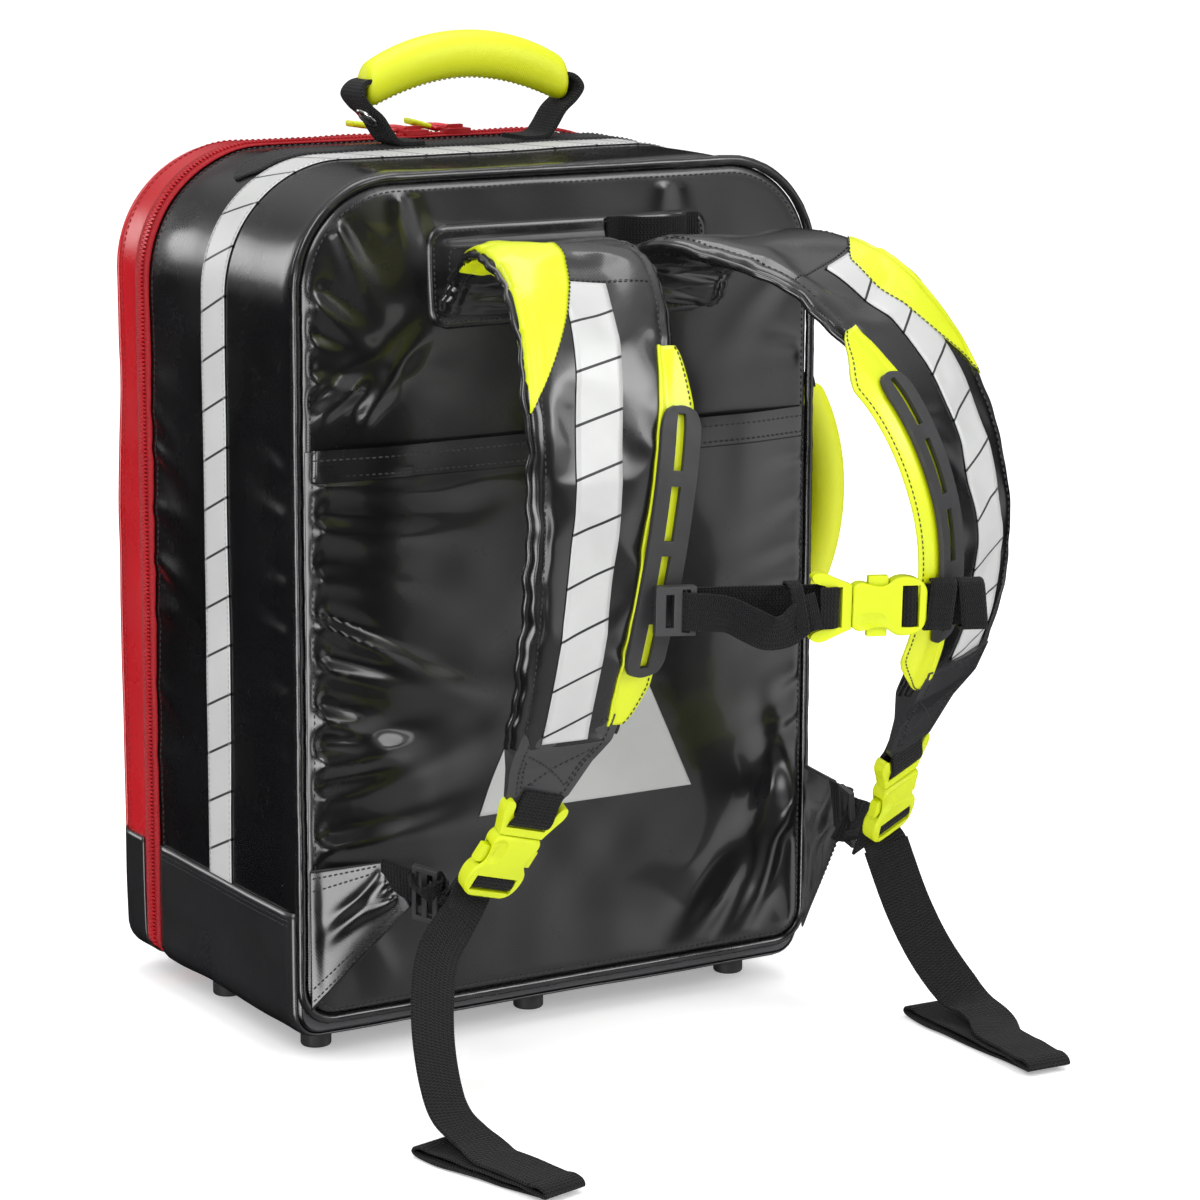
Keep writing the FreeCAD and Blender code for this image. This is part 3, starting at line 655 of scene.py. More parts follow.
def s_top(x):
    """Run along the case's outline to a place on its top."""
    return S_TOP + x + (HALF - TOP_RADIUS)


def s_right(z):
    """Run along the case's outline to a height on its right side."""
    return S_RIGHT + (TOP - TOP_RADIUS) - z


def on_outline(s, inset):
    """Points and outward normals in XZ of the case's outline, drawn in by inset."""
    s = np.asarray(s, float) % S_END
    inset = np.broadcast_to(np.asarray(inset, float), s.shape)
    x, z, nx, nz = (np.zeros(s.shape) for _ in range(4))
    for k, (start, end) in enumerate(zip(CASE_RUN[:-1], CASE_RUN[1:])):
        here = (s >= start) & (s < end)
        if not here.any():
            continue
        f = (s[here] - start) / (end - start)
        q = inset[here]
        low_r, high_r = np.maximum(BOTTOM_RADIUS - q, 0.5), np.maximum(TOP_RADIUS - q, 0.5)
        half, bottom, top = HALF - q, BOTTOM + q, TOP - q
        low, high = bottom + low_r, top - high_r
        if k in (1, 3, 5, 7):
            radius = low_r if k in (1, 7) else high_r
            side = -1 if k in (1, 3) else 1
            cx = side * (half - radius)
            cz = low if k in (1, 7) else high
            first = {1: -math.pi / 2, 3: -math.pi, 5: math.pi / 2, 7: 0.0}[k]
            angle = first - f * math.pi / 2
            nx[here], nz[here] = np.cos(angle), np.sin(angle)
            x[here], z[here] = cx + radius * np.cos(angle), cz + radius * np.sin(angle)
            continue
        ends = {
            0: (0 * q, bottom, -half + low_r, bottom, 0, -1),
            2: (-half, low, -half, high, -1, 0),
            4: (-half + high_r, top, half - high_r, top, 0, 1),
            6: (half, high, half, low, 1, 0),
            8: (half - low_r, bottom, 0 * q, bottom, 0, -1),
        }[k]
        x[here] = ends[0] + (ends[2] - ends[0]) * f
        z[here] = ends[1] + (ends[3] - ends[1]) * f
        nx[here], nz[here] = ends[4], ends[5]
    return x, z, nx, nz


def case_relief(s, y):
    """How far the case's fabric stands out of its flat form, from sagging, folds and rolled edges."""
    relief = 0.9 * noise(s, y * 1.4, 95.0, 3) + 0.3 * noise(s, y, 34.0, 4)
    relief = relief * smooth(np.minimum(s, S_END - s) / 60)
    side = np.where(np.abs(s - S_END / 2) > CASE_RUN[5] - S_END / 2, 1.0, 0.0)
    crumple = noise(s * 1.6, y * 0.7, 26.0, 5)
    near_zip = smooth((y - 112) / 40) * side
    relief = relief + near_zip * 0.8 * crumple
    for z0, drop, length, depth in (
        (318, 0.35, 60, 1.5), (296, 0.15, 74, 1.9), (262, -0.1, 66, 1.7), (236, 0.1, 78, 2.0),
        (206, -0.25, 60, 1.6), (170, 0.2, 52, 1.2), (128, -0.2, 44, 1.0),
    ):
        for where in (s_left(z0), s_right(z0 + 9)):
            relief = relief + pleat(y, s, WALL_Y1, where, math.pi + drop, length, 7.5, depth, 0.2)
            relief = relief + pleat(y, s, WALL_Y0 + 4, where - 14, drop * 0.6, length * 0.7, 6.0, depth * 0.6)
    relief = relief * smooth((WALL_Y1 - y) / 16)
    edge = np.clip((y - WALL_Y0) / 11, 0, 1)
    relief = relief - 5.4 * (1 - np.sqrt(np.maximum(1 - (1 - edge) ** 2, 0)))
    return relief


def case_points(s, y, lift):
    """Points on the case's fabric, raised from it by lift."""
    s = s % S_END
    x, z, nx, nz = on_outline(s, 0.0)
    out = case_relief(s, y) + lift
    return np.stack([x + nx * out, np.broadcast_to(y, x.shape), z + nz * out], -1)


def case_grid(s0, s1, y0, y1, step_s, step_y, lift):
    """A grid of points on the case's fabric."""
    s = np.linspace(s0, s1, max(2, int((s1 - s0) / step_s) + 1))
    y = np.linspace(y0, y1, max(2, int(abs(y1 - y0) / step_y) + 1))
    s, y = mesh_of(s, y)
    return case_points(s, y, lift)


# ---------------------------------------------------------------- case
def build_case():
    """The case's fabric, its dark foot, the reflective stripe and the seams."""
    s = np.linspace(0, S_END, 460, endpoint=False)
    y = np.concatenate([WALL_Y0 + np.array([0, 0.6, 1.6, 3, 5, 7.5]), np.linspace(WALL_Y0 + 11, WALL_Y1, 56)])
    s, y = mesh_of(s, y)
    body = grid("case_fabric", case_points(s, y, 0.0), "pack", pvc_black, wrap=(True, False))
    round_off(thicken(body, 3.0, -1.0))
    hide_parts("shell_walls")

    points = case_grid(
        s_right(BAND_TOP) - S_END, s_left(BAND_TOP), WALL_Y0 + 2, ZIP_MIDDLE - 8.5, 3.5, 3.0, 0.35
    )
    band = thicken(grid("base_cover", points, "pack", pvc_band), 0.9)
    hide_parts("base_band")

    half = STRIPE_WIDTH / 2
    foot = BAND_TOP - 3
    points = case_grid(s_left(foot), s_right(foot), STRIPE_Y - half, STRIPE_Y + half, 3.5, 3.2, 0.45)
    stripe = thicken(grid("reflective_band", points, "pack", tape_silver), 0.35)
    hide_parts("reflective_stripe_body")

    for edge in (STRIPE_Y - half + 1.4, STRIPE_Y + half - 1.4):
        line = case_grid(s_left(BAND_TOP), s_right(BAND_TOP), edge, edge + 0.01, 3, 1, 0.9)[:, 0]
        sew("pack", line, outline_normals(line), 3.0, 2.2, 0.25, "grey")
    seam_y = np.linspace(WALL_Y0 + 6, ZIP_MIDDLE - 10, 60)
    seam_z = BAND_TOP - 4.5
    for place, down in ((s_left(seam_z), -2.6), (s_right(seam_z), 2.6)):
        for shift in (0.0, down):
            line = case_points(np.full(60, place + shift), seam_y, 1.3)
            sew("pack", line, outline_normals(line))
    edge = ZIP_MIDDLE - 11.5
    line = case_grid(s_left(BAND_TOP), s_right(BAND_TOP), edge, edge + 0.1, 3, 1, 0.1)[:, 0]
    sew("pack", line, outline_normals(line))


def outline_normals(line):
    """Outward normals in XZ of a line that follows the case's outline."""
    cx = np.clip(line[:, 0], -(HALF - TOP_RADIUS), HALF - TOP_RADIUS)
    cz = np.clip(line[:, 2], BOTTOM + TOP_RADIUS, TOP - TOP_RADIUS)
    out = np.stack([line[:, 0] - cx, np.zeros(len(line)), line[:, 2] - cz], 1)
    out[np.linalg.norm(out, axis=1) < 1e-6] = (0, 0, 1)
    return unit(out)


def build_zip():
    """Both zip tapes and their teeth."""
    start, end = s_left(BOTTOM + 10), s_right(BOTTOM + 10)
    for name, node, body, first in (
        ("zip_tape_case", "zip_tape_body", "pack", ZIP_MIDDLE - 8.2),
        ("zip_tape_cover", "zip_tape_lid", "lid", ZIP_MIDDLE + 1.2),
    ):
        points = case_grid(start, end, first, first + 7, 3, 1.8, 0.6)
        tape = thicken(grid(name, points, body, zip_tape), 0.7)
        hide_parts(node)
    for body, side, phase in (("pack", -1, 0.0), ("lid", 1, 0.5)):
        s = np.arange(start, end, TOOTH_PITCH) + phase * TOOTH_PITCH
        near, far = ZIP_MIDDLE - side * 0.75, ZIP_MIDDLE + side * 2.9
        corners = []
        for ds, y, h in (
            (-0.45, near, 0.9), (0.45, near, 0.9), (0.62, far, 0.9), (-0.62, far, 0.9),
            (-0.35, near, 2.4), (0.35, near, 2.4), (0.5, far, 2.3), (-0.5, far, 2.3),
        ):
            corners.append(case_points(s + ds, np.full(s.shape, y), h))
        points = np.stack(corners, 1).reshape(-1, 3)
        quads = [(3, 2, 1, 0), (4, 5, 6, 7), (0, 1, 5, 4), (1, 2, 6, 5), (2, 3, 7, 6), (3, 0, 4, 7)]
        faces = [tuple(8 * k + corner for corner in quad) for k in range(len(s)) for quad in quads]
        teeth = piece("zip_teeth_" + body, points, faces, body, look=zip_teeth)


# ---------------------------------------------------------------- lid
def lid_points(t, s, lift):
    """t runs from the zip over the rounded edge to the middle of the face."""
    angle = np.clip((t - LID_SIDE) / LID_ROUND, 0, math.pi / 2)
    inset = LID_ROUND * (1 - np.cos(angle)) + np.clip(t - LID_SIDE - LID_ARC, 0, None)
    y = LID_Y0 + np.clip(t, 0, LID_SIDE) + LID_ROUND * np.sin(angle)
    x, z, nx, nz = on_outline(s, inset)
    swell = 1.5 * noise(x, z, 90.0, 11) + 0.5 * noise(x * 1.2, z + y, 30.0, 12)
    swell = swell + 2.2 * smooth((inset - 12) / 60)
    for k, z0 in enumerate((120, 176, 232, 290, 340)):
        for sign in (-1, 1):
            a = math.pi / 2 - sign * (math.pi / 2 - 0.25 + 0.12 * k)
            swell = swell + pleat(x, z, sign * (HALF - 4), z0, a, 76 - 6 * k, 7.0, 2.2) * smooth(inset / 10)
    out = swell * smooth(t / 12) + lift
    return np.stack([
        x + nx * out * np.cos(angle), y + out * np.sin(angle), z + nz * out * np.cos(angle)
    ], -1)


def build_lid():
    """The red cover, its dark foot, its piping and its seams."""
    side, arc = LID_SIDE, LID_ARC
    total = side + arc + 136
    t = np.concatenate([np.linspace(0, side, 12)[:-1], side + np.linspace(0, arc, 9)[:-1],
                        np.linspace(side + arc, total, 46)])
    s = np.linspace(0, S_END, 400, endpoint=False)
    s2, t2 = mesh_of(s, t)
    points = lid_points(t2, s2, 0.0)
    middle = points[:, -1] * [0, 1, 1]
    points = np.concatenate([points, ((points[:, -1] + middle) / 2)[:, None], middle[:, None]], 1)
    cover = grid("lid_fabric", points, "lid", pvc_red, wrap=(True, False))
    weld = cover.modifiers.new("middle", "WELD")
    weld.merge_threshold = 0.05 * MM
    round_off(thicken(cover, 3.0, -1.0))
    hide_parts("lid_shell")
    low, high = s_left(BAND_TOP), s_right(BAND_TOP)
    t = np.concatenate([np.linspace(9, side, 9)[:-1], side + np.linspace(0, arc, 8)[:-1],
                        side + arc + np.linspace(0, 68, 22)])
    s = np.linspace(high - S_END, low, 130)
    s2, t2 = mesh_of(s, t)
    points = lid_points(t2, s2 % S_END, 0.4)
    points[..., 2] = np.minimum(points[..., 2], BAND_TOP)
    band = thicken(grid("lid_base_cover", points, "lid", pvc_band), 0.9)
    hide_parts("lid_band")
    s = np.linspace(low, high, 300)
    for offset in (side - 1, side + arc + 3):
        line = lid_points(np.full(300, offset), s, 0.15)
        normal = outline_normals(line) if offset < side else np.broadcast_to([0, 1.0, 0], line.shape)
        sew("lid", line, normal, colour="red")
    ring = lid_points(np.full(500, side + arc * 0.5), np.linspace(0, S_END, 500, endpoint=False), 0.8)
    seam = tube("lid_piping", ring, 1.2, "lid", pvc_red, closed=True)


# ---------------------------------------------------------------- back panel and pocket
def edge_distance(x, z, half, bottom, top, top_radius, bottom_radius):
    """Distance inwards from a rounded rectangle's edge."""
    radius = np.where(z > (bottom + top) / 2, top_radius, bottom_radius)
    qx = np.abs(x) - (half - radius)
    qz = np.abs(z - (bottom + top) / 2) - ((top - bottom) / 2 - radius)
    outside = np.sqrt(np.maximum(qx, 0) ** 2 + np.maximum(qz, 0) ** 2)
    return radius - outside - np.minimum(np.maximum(qx, qz), 0)


def panel_edge(x, z):
    """Distance inwards from the back panel's edge."""
    return edge_distance(x, z, PANEL_HALF, PANEL_BOTTOM, PANEL_TOP, PANEL_TOP_RADIUS, PANEL_BOTTOM_RADIUS)


def panel_relief(x, z):
    """How far the padded panel stands out towards the wearer."""
    inside = panel_edge(x, z)
    relief = 0.8 * noise(x, z, 80.0, 21) + 0.3 * noise(x, z, 28.0, 22)
    relief = relief + 2.6 * smooth(inside / 70)
    for u0, v0, angle, length, width, depth, bend in (
        (-148, 395, -0.75, 120, 9.0, 2.6, 0.15), (-148, 352, -0.30, 86, 8.0, 2.2, 0.2),
        (-146, 330, 0.62, 120, 8.0, 2.4, -0.15), (-120, 326, 0.95, 110, 8.0, 1.9, -0.1),
        (-132, 430, -1.15, 90, 8.0, 2.0, 0.1), (-96, 442, -1.45, 70, 8.0, 1.5, 0.1),
        (-148, 372, -0.5, 70, 6.0, 1.6, 0.1), (146, 400, -2.5, 80, 9.0, 1.6, 0.1),
        (147, 350, 2.9, 60, 8.0, 1.3, 0.1), (60, 440, -1.7, 60, 9.0, 1.2, 0.0),
    ):
        relief = relief + 1.35 * pleat(x, z, u0, v0, angle, length, width, depth, bend)
    d = np.clip(inside, 0, 6) / 6
    return relief * smooth(inside / 9) - 5.2 * (1 - np.sqrt(np.maximum(1 - (1 - d) ** 2, 0)))


def pocket_relief(x, z):
    """The flat pocket's front, over the panel: it gapes at its mouth and is gathered at its sides."""
    side = np.clip((PANEL_HALF - 3 - np.abs(x)) / 46, 0, 1)
    foot = smooth((z - PANEL_BOTTOM) / 34)
    mouth = smooth((z - (POCKET_TOP - 110)) / 110)
    stand = 1.0 + foot * smooth(side) * (2.0 + 3.6 * mouth)
    relief = 0.7 * noise(x, z, 74.0, 31) + 0.28 * noise(x * 1.2, z, 26.0, 32)
    rng = np.random.default_rng(5)
    for k in range(10):
        z0 = 296 - 22.5 * k + rng.uniform(-6, 6)
        depth = 6.2 * (1 - abs(k - 5) / 9) * rng.uniform(0.6, 1.15)
        relief = relief + pleat(
            x, z, -PANEL_HALF + 2, z0, rng.uniform(-0.5, 0.3), rng.uniform(80, 150), rng.uniform(6.5, 10.5),
            depth, rng.uniform(-0.3, 0.3),
        )
        relief = relief + pleat(
            x, z, PANEL_HALF - 2, z0 - 8, math.pi + rng.uniform(-0.3, 0.4), rng.uniform(36, 70),
            rng.uniform(5.5, 8.0), depth * 0.4,
        )
    for u0, v0, angle, length, width, depth, bend in (
        (128, 78, 1.18, 150, 8.0, 4.6, 0.12), (104, 66, 0.85, 130, 9.0, 3.4, -0.1),
        (138, 118, 1.75, 120, 7.0, 3.0, 0.1), (-60, 296, 0.05, 90, 9.0, 1.3, 0.05),
        (20, 300, -0.1, 80, 10.0, 0.9, 0.0), (-118, 66, 2.1, 70, 7.0, 1.6, 0.1),
    ):
        relief = relief + crease(x, z, u0, v0, angle, length, width, depth, bend)
    inside = edge_distance(x, z, PANEL_HALF - 1, PANEL_BOTTOM + 1, PANEL_TOP * 2, 2.0, PANEL_BOTTOM_RADIUS)
    hold = smooth(inside / 8)
    return panel_relief(x, z) * (1 - 0.6 * foot * smooth(side)) + stand * hold + relief * hold


def panel_grid(low, high, outline, count_x, count_z, relief, lift):
    """Points over a height range of the panel, each row spread to its own half width."""
    turn = math.pi / 2 * 0.86
    spread = np.sin(np.linspace(-1, 1, count_x) * turn) / math.sin(turn)
    rise = (1 - np.cos(np.linspace(0.12, 1, count_z) * math.pi)) / 2
    rise = (rise - rise[0]) / (rise[-1] - rise[0])
    z = low + (high - low) * rise
    z2, u2 = mesh_of(z, spread)
    x2 = u2 * round_half(z, *outline)[:, None]
    return np.stack([x2, -relief(x2, z2) - lift, z2], -1)


def round_half(z, half, bottom, top, top_radius, bottom_radius):
    """Half width at a height of a rectangle with round corners."""
    up = np.clip((z - (top - top_radius)) / top_radius, 0, 1)
    down = np.clip((bottom + bottom_radius - z) / bottom_radius, 0, 1)
    return half - top_radius * (1 - np.sqrt(1 - up**2)) - bottom_radius * (1 - np.sqrt(1 - down**2))


def build_panel():
    """The padded back panel, the pocket over it with its hem, and the piping round them."""
    outline = (PANEL_HALF, PANEL_BOTTOM, PANEL_TOP, PANEL_TOP_RADIUS, PANEL_BOTTOM_RADIUS)
    points = panel_grid(PANEL_BOTTOM + 0.02, PANEL_TOP - 0.02, outline, 110, 150, panel_relief, 0.0)
    panel = grid("panel_fabric", points[:, ::-1], "pack", pvc_panel)
    round_off(thicken(panel, 2.0, -1.0))
    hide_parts("back_panel")

    inner = 1.5
    outline = (PANEL_HALF - inner, PANEL_BOTTOM + inner, PANEL_TOP * 2, 1.0, PANEL_BOTTOM_RADIUS - inner)
    points = panel_grid(PANEL_BOTTOM + inner, POCKET_TOP, outline, 130, 120, pocket_relief, 0.9)
    pocket = grid("pocket_front", points[:, ::-1], "pack", pvc_panel)
    round_off(thicken(pocket, 0.8, -1.0))
    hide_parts("back_pocket")

    z = np.array([POCKET_TOP + 0.6, POCKET_TOP + 0.9, POCKET_TOP - 3, POCKET_TOP - 9, POCKET_TOP - 14.5,
                  POCKET_TOP - 15.4])
    rise = np.array([0.2, 1.9, 2.2, 2.0, 1.9, 1.0])
    x = np.linspace(-PANEL_HALF + 4, PANEL_HALF - 4, 110)
    x2, z2 = mesh_of(x, z)
    hem = np.stack([x2, -pocket_relief(x2, np.minimum(z2, POCKET_TOP)) - rise[None], z2], -1)
    made = thicken(grid("pocket_hem", hem[:, ::-1], "pack", pvc_strap), 0.6, -1.0)
    for drop in (4.0, 12.5):
        height = np.full(110, POCKET_TOP - drop)
        line = np.stack([x, -pocket_relief(x, height) - 2.25, height], 1)
        sew("pack", line, (0, -1, 0))

    grow = 2.0
    ring = segments(PANEL_HALF + grow, PANEL_BOTTOM - grow, PANEL_TOP + grow, PANEL_TOP_RADIUS + grow,
                    PANEL_BOTTOM_RADIUS + grow)
    rim = walk(ring, lambda part: max(4, int(segment_length(part) / 4)))
    path = np.stack([rim[:, 0], 2.4 + 0.5 * noise(rim[:, 0], rim[:, 1], 25.0, 41), rim[:, 1]], 1)
    girth = 2.45 + 0.28 * noise(path[:, 0] * 2, path[:, 2] * 2, 9.0, 42)
    piping = tube("panel_piping_cord", path, girth, "pack", piping_black, closed=True, sides=10)
    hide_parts("panel_piping")
    inward = 6.5
    line = []
    for p in rim:
        inner_x = np.clip(p[0], -(PANEL_HALF - 60), PANEL_HALF - 60)
        inner_z = np.clip(p[1], PANEL_BOTTOM + 60, PANEL_TOP - 60)
        p = p - unit(p - np.array([inner_x, inner_z])) * inward
        lower = pocket_relief(p[0], p[1]) + 0.9 if p[1] < POCKET_TOP else panel_relief(p[0], p[1])
        line.append([p[0], -float(lower) - 0.1, p[1]])
    sew("pack", line, (0, -1, 0))


def build_patch_and_anchor():
    """The silver patch, the plate that holds the straps, and the haul loop."""
    z2, x2 = mesh_of(np.linspace(0, 1, 44), np.linspace(0, 1, 60))
    left = -54 + 39 * z2
    side = 75 - 39 * z2
    px, pz = left + (side - left) * x2, 121 + 84 * z2
    points = np.stack([px, -pocket_relief(px, pz) - 1.15, pz], -1)
    patch = grid("silver_patch", points[:, ::-1], "pack", patch_silver)
    thicken(patch, 0.4)
    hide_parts("reflective_patch")

    low, high, left, side, radius = 372.0, 424.0, -80.0, 84.0, 10.0
    z = np.linspace(low, high, 26)
    half = round_half(z, (side - left) / 2, low, high, radius, radius)
    u = np.linspace(-1, 1, 60)
    z2, u2 = mesh_of(z, u)
    x2 = (left + side) / 2 + u2 * half[:, None]
    rim = edge_distance(x2 - (left + side) / 2, z2, (side - left) / 2, low, high, radius, radius)
    rise = 0.4 + 1.0 * smooth(rim / 3) - 0.7 * np.exp(-(((rim - 7) / 1.6) ** 2))
    points = np.stack([x2, -panel_relief(x2, z2) - rise, z2], -1)
    plate = grid("anchor_plate", points[:, ::-1], "pack", pvc_strap)
    thicken(plate, 0.8, -1.0)
    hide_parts("strap_anchor_plate")
    for inset in (3.4, 12.0):
        corner = radius - min(inset, 6)
        ring = segments((side - left) / 2 - inset, low + inset, high - inset, corner, corner)
        line = []
        for px, pz in walk(ring, lambda part: 12):
            px += (left + side) / 2
            line.append([px, -float(panel_relief(px, pz)) - 1.5, pz])
        sew("pack", line + line[:1], (0, -1, 0), *FINE_STITCH)
    path = curve_through([(23, -3.5, 414), (31, -4, 414), (38, -13, 414), (50, -17, 414), (62, -13, 414),
                          (69, -4, 414), (77, -3.5, 414)], 40)
    haul = ribbon("haul_webbing", path, (0, 0, 1), 18, 2.0, "pack", webbing)
    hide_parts("haul_loop")


# ---------------------------------------------------------------- shoulder straps
# The same routes as the frame's straps: x, y, z, half width, then the direction across.
LEFT_STRAP = [
    (-38, -9, 382, 41, 1.0, 0.0, 0.0),
    (-38, -27, 401, 42, 1.0, 0.0, 0.0),
    (-41, -60, 414, 43, 1.0, 0.0, 0.0),
    (-47, -98, 396, 42, 1.0, 0.0, 0.0),
    (-58, -126, 342, 39, 1.0, 0.0, 0.0),
    (-66, -134, 284, 35, 1.0, 0.0, 0.0),
    (-70, -127, 230, 32, 1.0, 0.0, 0.0),
    (-70, -112, 186, 30, 1.0, 0.0, 0.0),
]
RIGHT_STRAP = [
    (46, -12, 382, 39, 1.0, 0.0, 0.0),
    (52, -27, 400, 40, 1.0, -0.05, 0.0),
    (66, -62, 411, 41, 1.0, -0.05, 0.0),
    (94, -110, 398, 41, 0.99, 0.12, 0.0),
    (120, -144, 354, 39, 0.94, 0.34, 0.0),
    (134, -161, 300, 37, 0.90, 0.43, 0.0),
    (139, -157, 246, 34, 0.90, 0.43, 0.0),
    (139, -134, 196, 30, 0.92, 0.38, 0.0),
]


def strap_frame(rows, t):
    """Centre, direction across, outward normal and half width of a strap at t."""
    last = len(rows) - 1
    t = min(max(t, 0), last)
    here = spline(rows, t)
    along = unit(spline(rows, min(t + 0.02, last))[:3] - spline(rows, max(t - 0.02, 0))[:3])
    across = unit(here[4:7] - along * (here[4:7] @ along))
    return here[:3], across, np.cross(along, across), here[3]


def strap_points(rows, t, across, rise):
    """Points at distances across a strap and above its middle surface; t and across are arrays."""
    t, across, rise = np.broadcast_arrays(t, across, rise)
    points = np.zeros(t.shape + (3,))
    down = np.zeros(t.shape + (3,))
    frames = {value: strap_frame(rows, value) for value in np.unique(t)}
    for index, value in np.ndenumerate(t):
        centre, side, out, _ = frames[value]
        points[index] = centre + side * across[index] + out * rise[index]
        down[index] = -out
    return points, down


def half_widths(rows, t):
    return np.array([strap_frame(rows, value)[3] for value in t])


def build_pad(name, rows, inner, seed):
    """A shoulder pad, filled by cloth simulation, with its edges' piping and seams."""
    last = len(rows) - 1
    count, columns = 150, 34
    ts = np.linspace(0, last, count)
    f = np.sin(np.linspace(-1, 1, columns) * math.pi / 2)
    crown = np.sqrt(np.maximum(1 - np.abs(f) ** 7, 0))
    rings = []
    for t in ts:
        centre, side, out, half = strap_frame(rows, t)
        edge = half + 0.6 * math.sin(t * 9 + seed) + 0.4 * math.sin(t * 23)
        place, run = f * edge, np.full(columns, t * 62)
        groove = 1.3 * np.exp(-(((np.abs(place) - (edge - 6.5)) / 1.7) ** 2))
        ripple = 0.5 * noise(place, run, 24.0, seed) + 0.5 * noise(place, run, 60.0, seed + 1)
        gather = math.pi / 2 * (1 + inner) + 0.3
        for k in range(7):
            ripple = ripple + pleat(
                place, np.full(columns, t * 60.0), inner * edge, 90 + 55 * k, gather, 34, 5.0, 1.1
            )
        top = (PAD_RISE - 0.6) * crown - groove + ripple * crown
        low = -(PAD_RISE - 0.6) * crown + groove * 0.7 + ripple * crown * 0.4
        flat = centre + side * place[:, None]
        rings.append(np.concatenate([flat + out * top[:, None], (flat + out * low[:, None])[::-1][1:-1]], 0))
    pad = grid("shoulder_pad_" + name + "_cover", np.array(rings), "pack", pvc_strap, wrap=(False, True),
               caps=True)
    inflate(pad, 2.5, 2.2, 0.015)
    surface = surface_of(pad)
    round_off(pad)
    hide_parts("shoulder_pad_" + name)

    shown = ((np.array([v.co for v in pad.data.vertices]) - ORIGIN) / MM).reshape(count, -1, 3)
    t = ts[2:-1]
    halves = half_widths(rows, t)
    for side, column, label in ((-1, 0, "_low"), (1, columns - 1, "_high")):
        bead = tube("pad_bead_" + name + label, shown[2:-1, column], 1.9, "pack", piping_black)
        for high in (1, -1):
            line, down = strap_points(rows, t, side * (halves - 6.5), 0.0)
            sew("pack", lay(surface, line, down * high, 0.1), -down * high)
    return surface


def lay_tape(name, rows, surface, shift, start):
    """The reflective tape along a pad, sewn across at its start."""
    t, across = mesh_of(np.linspace(start, len(rows) - 1.12, 110), np.linspace(-12.5, 12.5, 9))
    line, down = strap_points(rows, t, across + shift, 0.0)
    stripe = grid("pad_tape_" + name, lay(surface, line, down, 0.35), "pack", tape_silver)
    thicken(stripe, 0.4)
    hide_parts("shoulder_stripe_" + name)
    t, across = mesh_of([start - 0.04], np.linspace(-35, 35, 40))
    line, down = strap_points(rows, t, across, 0.0)
    sew("pack", lay(surface, line, down, 0.5)[0], -down[0], *TIGHT_STITCH)


def lay_accent(name, rows, surface, inner, span, widest):
    """The lime insert over the shoulder, on both faces of the pad's outer edge."""
    t = np.linspace(*span, 70)
    f = (t - t[0]) / (t[-1] - t[0])
    spread = widest * np.sin(math.pi * (0.30 + 0.70 * f) ** 1.25) * np.sqrt(np.clip(f * 7, 0, 1)) + 0.4
    outer = -inner * (half_widths(rows, t)[:, None] - 0.8)
    across = outer + inner * spread[:, None] * np.linspace(0, 1, 14)
    line, down = strap_points(rows, t[:, None], across, 0.0)
    over, under = lay(surface, line, down, 0.6), lay(surface, line, -down, 0.6)
    accent = grid("pad_accent_" + name, over[:, ::inner], "pack", pvc_lime)
    thicken(accent, 0.7, 0.0)
    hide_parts("shoulder_accents")
    sew("pack", over[:, -1] - down[:, -1] * 0.5, -down[:, -1], *TIGHT_STITCH)
    accent_low = grid("pad_accent_" + name + "_under", under[:, ::-inner], "pack", pvc_lime)
    thicken(accent_low, 0.7, 0.0)


def build_inner_wing(name, rows, surface, inner, wing_reach):
    """The lime wing that carries the ladder: it lies on the pad and reaches past its inner edge."""
    t = np.linspace(3.4, 6.75, 80)
    f = (t - 3.4) / 3.35
    halves = half_widths(rows, t)[:, None]
    reach = wing_reach * np.clip(np.minimum(f / 0.13, (1 - f) / 0.13), 0, 1) ** 0.7
    across = inner * (halves - 9 + (9 + reach[:, None]) * np.linspace(0, 1, 12))
    line, down = strap_points(rows, t[:, None], across, 0.0)
    over = lay(surface, line, down, 0.6)
    beyond = np.abs(across) - halves
    share = smooth((beyond + 6) / 5)[..., None]
    level = PAD_RISE + 0.7 - 3.5 * smooth((beyond - 11) / 10)[..., None]
    points = over * (1 - share) + (line - down * level) * share
    wing = grid("inner_wing_" + name, points[:, ::inner], "pack", pvc_lime)
    thicken(wing, 1.2, 0.0)
    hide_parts("inner_wings")
    sew("pack", points[:, 10] - down[:, 10] * 0.7, -down[:, 10], *TIGHT_STITCH)


def build_ladder(name, rows, inner):
    """The rubber plate with four slots for the chest strap's hook."""
    rows_t, columns = 75, 17
    length, half = 118, 11
    t = np.linspace(3.85, 6.2, rows_t)
    across = np.linspace(-half, half, columns)
    along = np.linspace(0, 1, rows_t) * length
    round_end = (1 - np.minimum(along, length - along) / half).clip(0, 1)
    width = 1 - 0.62 * (1 - np.sqrt(1 - round_end**2))
    placed = inner * (half_widths(rows, t)[:, None] + 2) + across * width[:, None]
    line, _ = strap_points(rows, t[:, None], placed, PAD_RISE + 1.6 + 0.6 * (across / half) ** 2)
    holes = np.zeros((rows_t - 1, columns - 1), bool)
    for k in range(4):
        middle = int((4.15 + 0.58 * k - 3.85) / 2.35 * (rows_t - 1))
        holes[middle - 7:middle + 7, 6:10] = True
    plate = grid("ladder_" + name, line, "pack", rubber_grey, holes=holes)
    thicken(plate, 2.6)
    bevel(plate, 0.6, 50)
    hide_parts("ladder_plate_" + name)


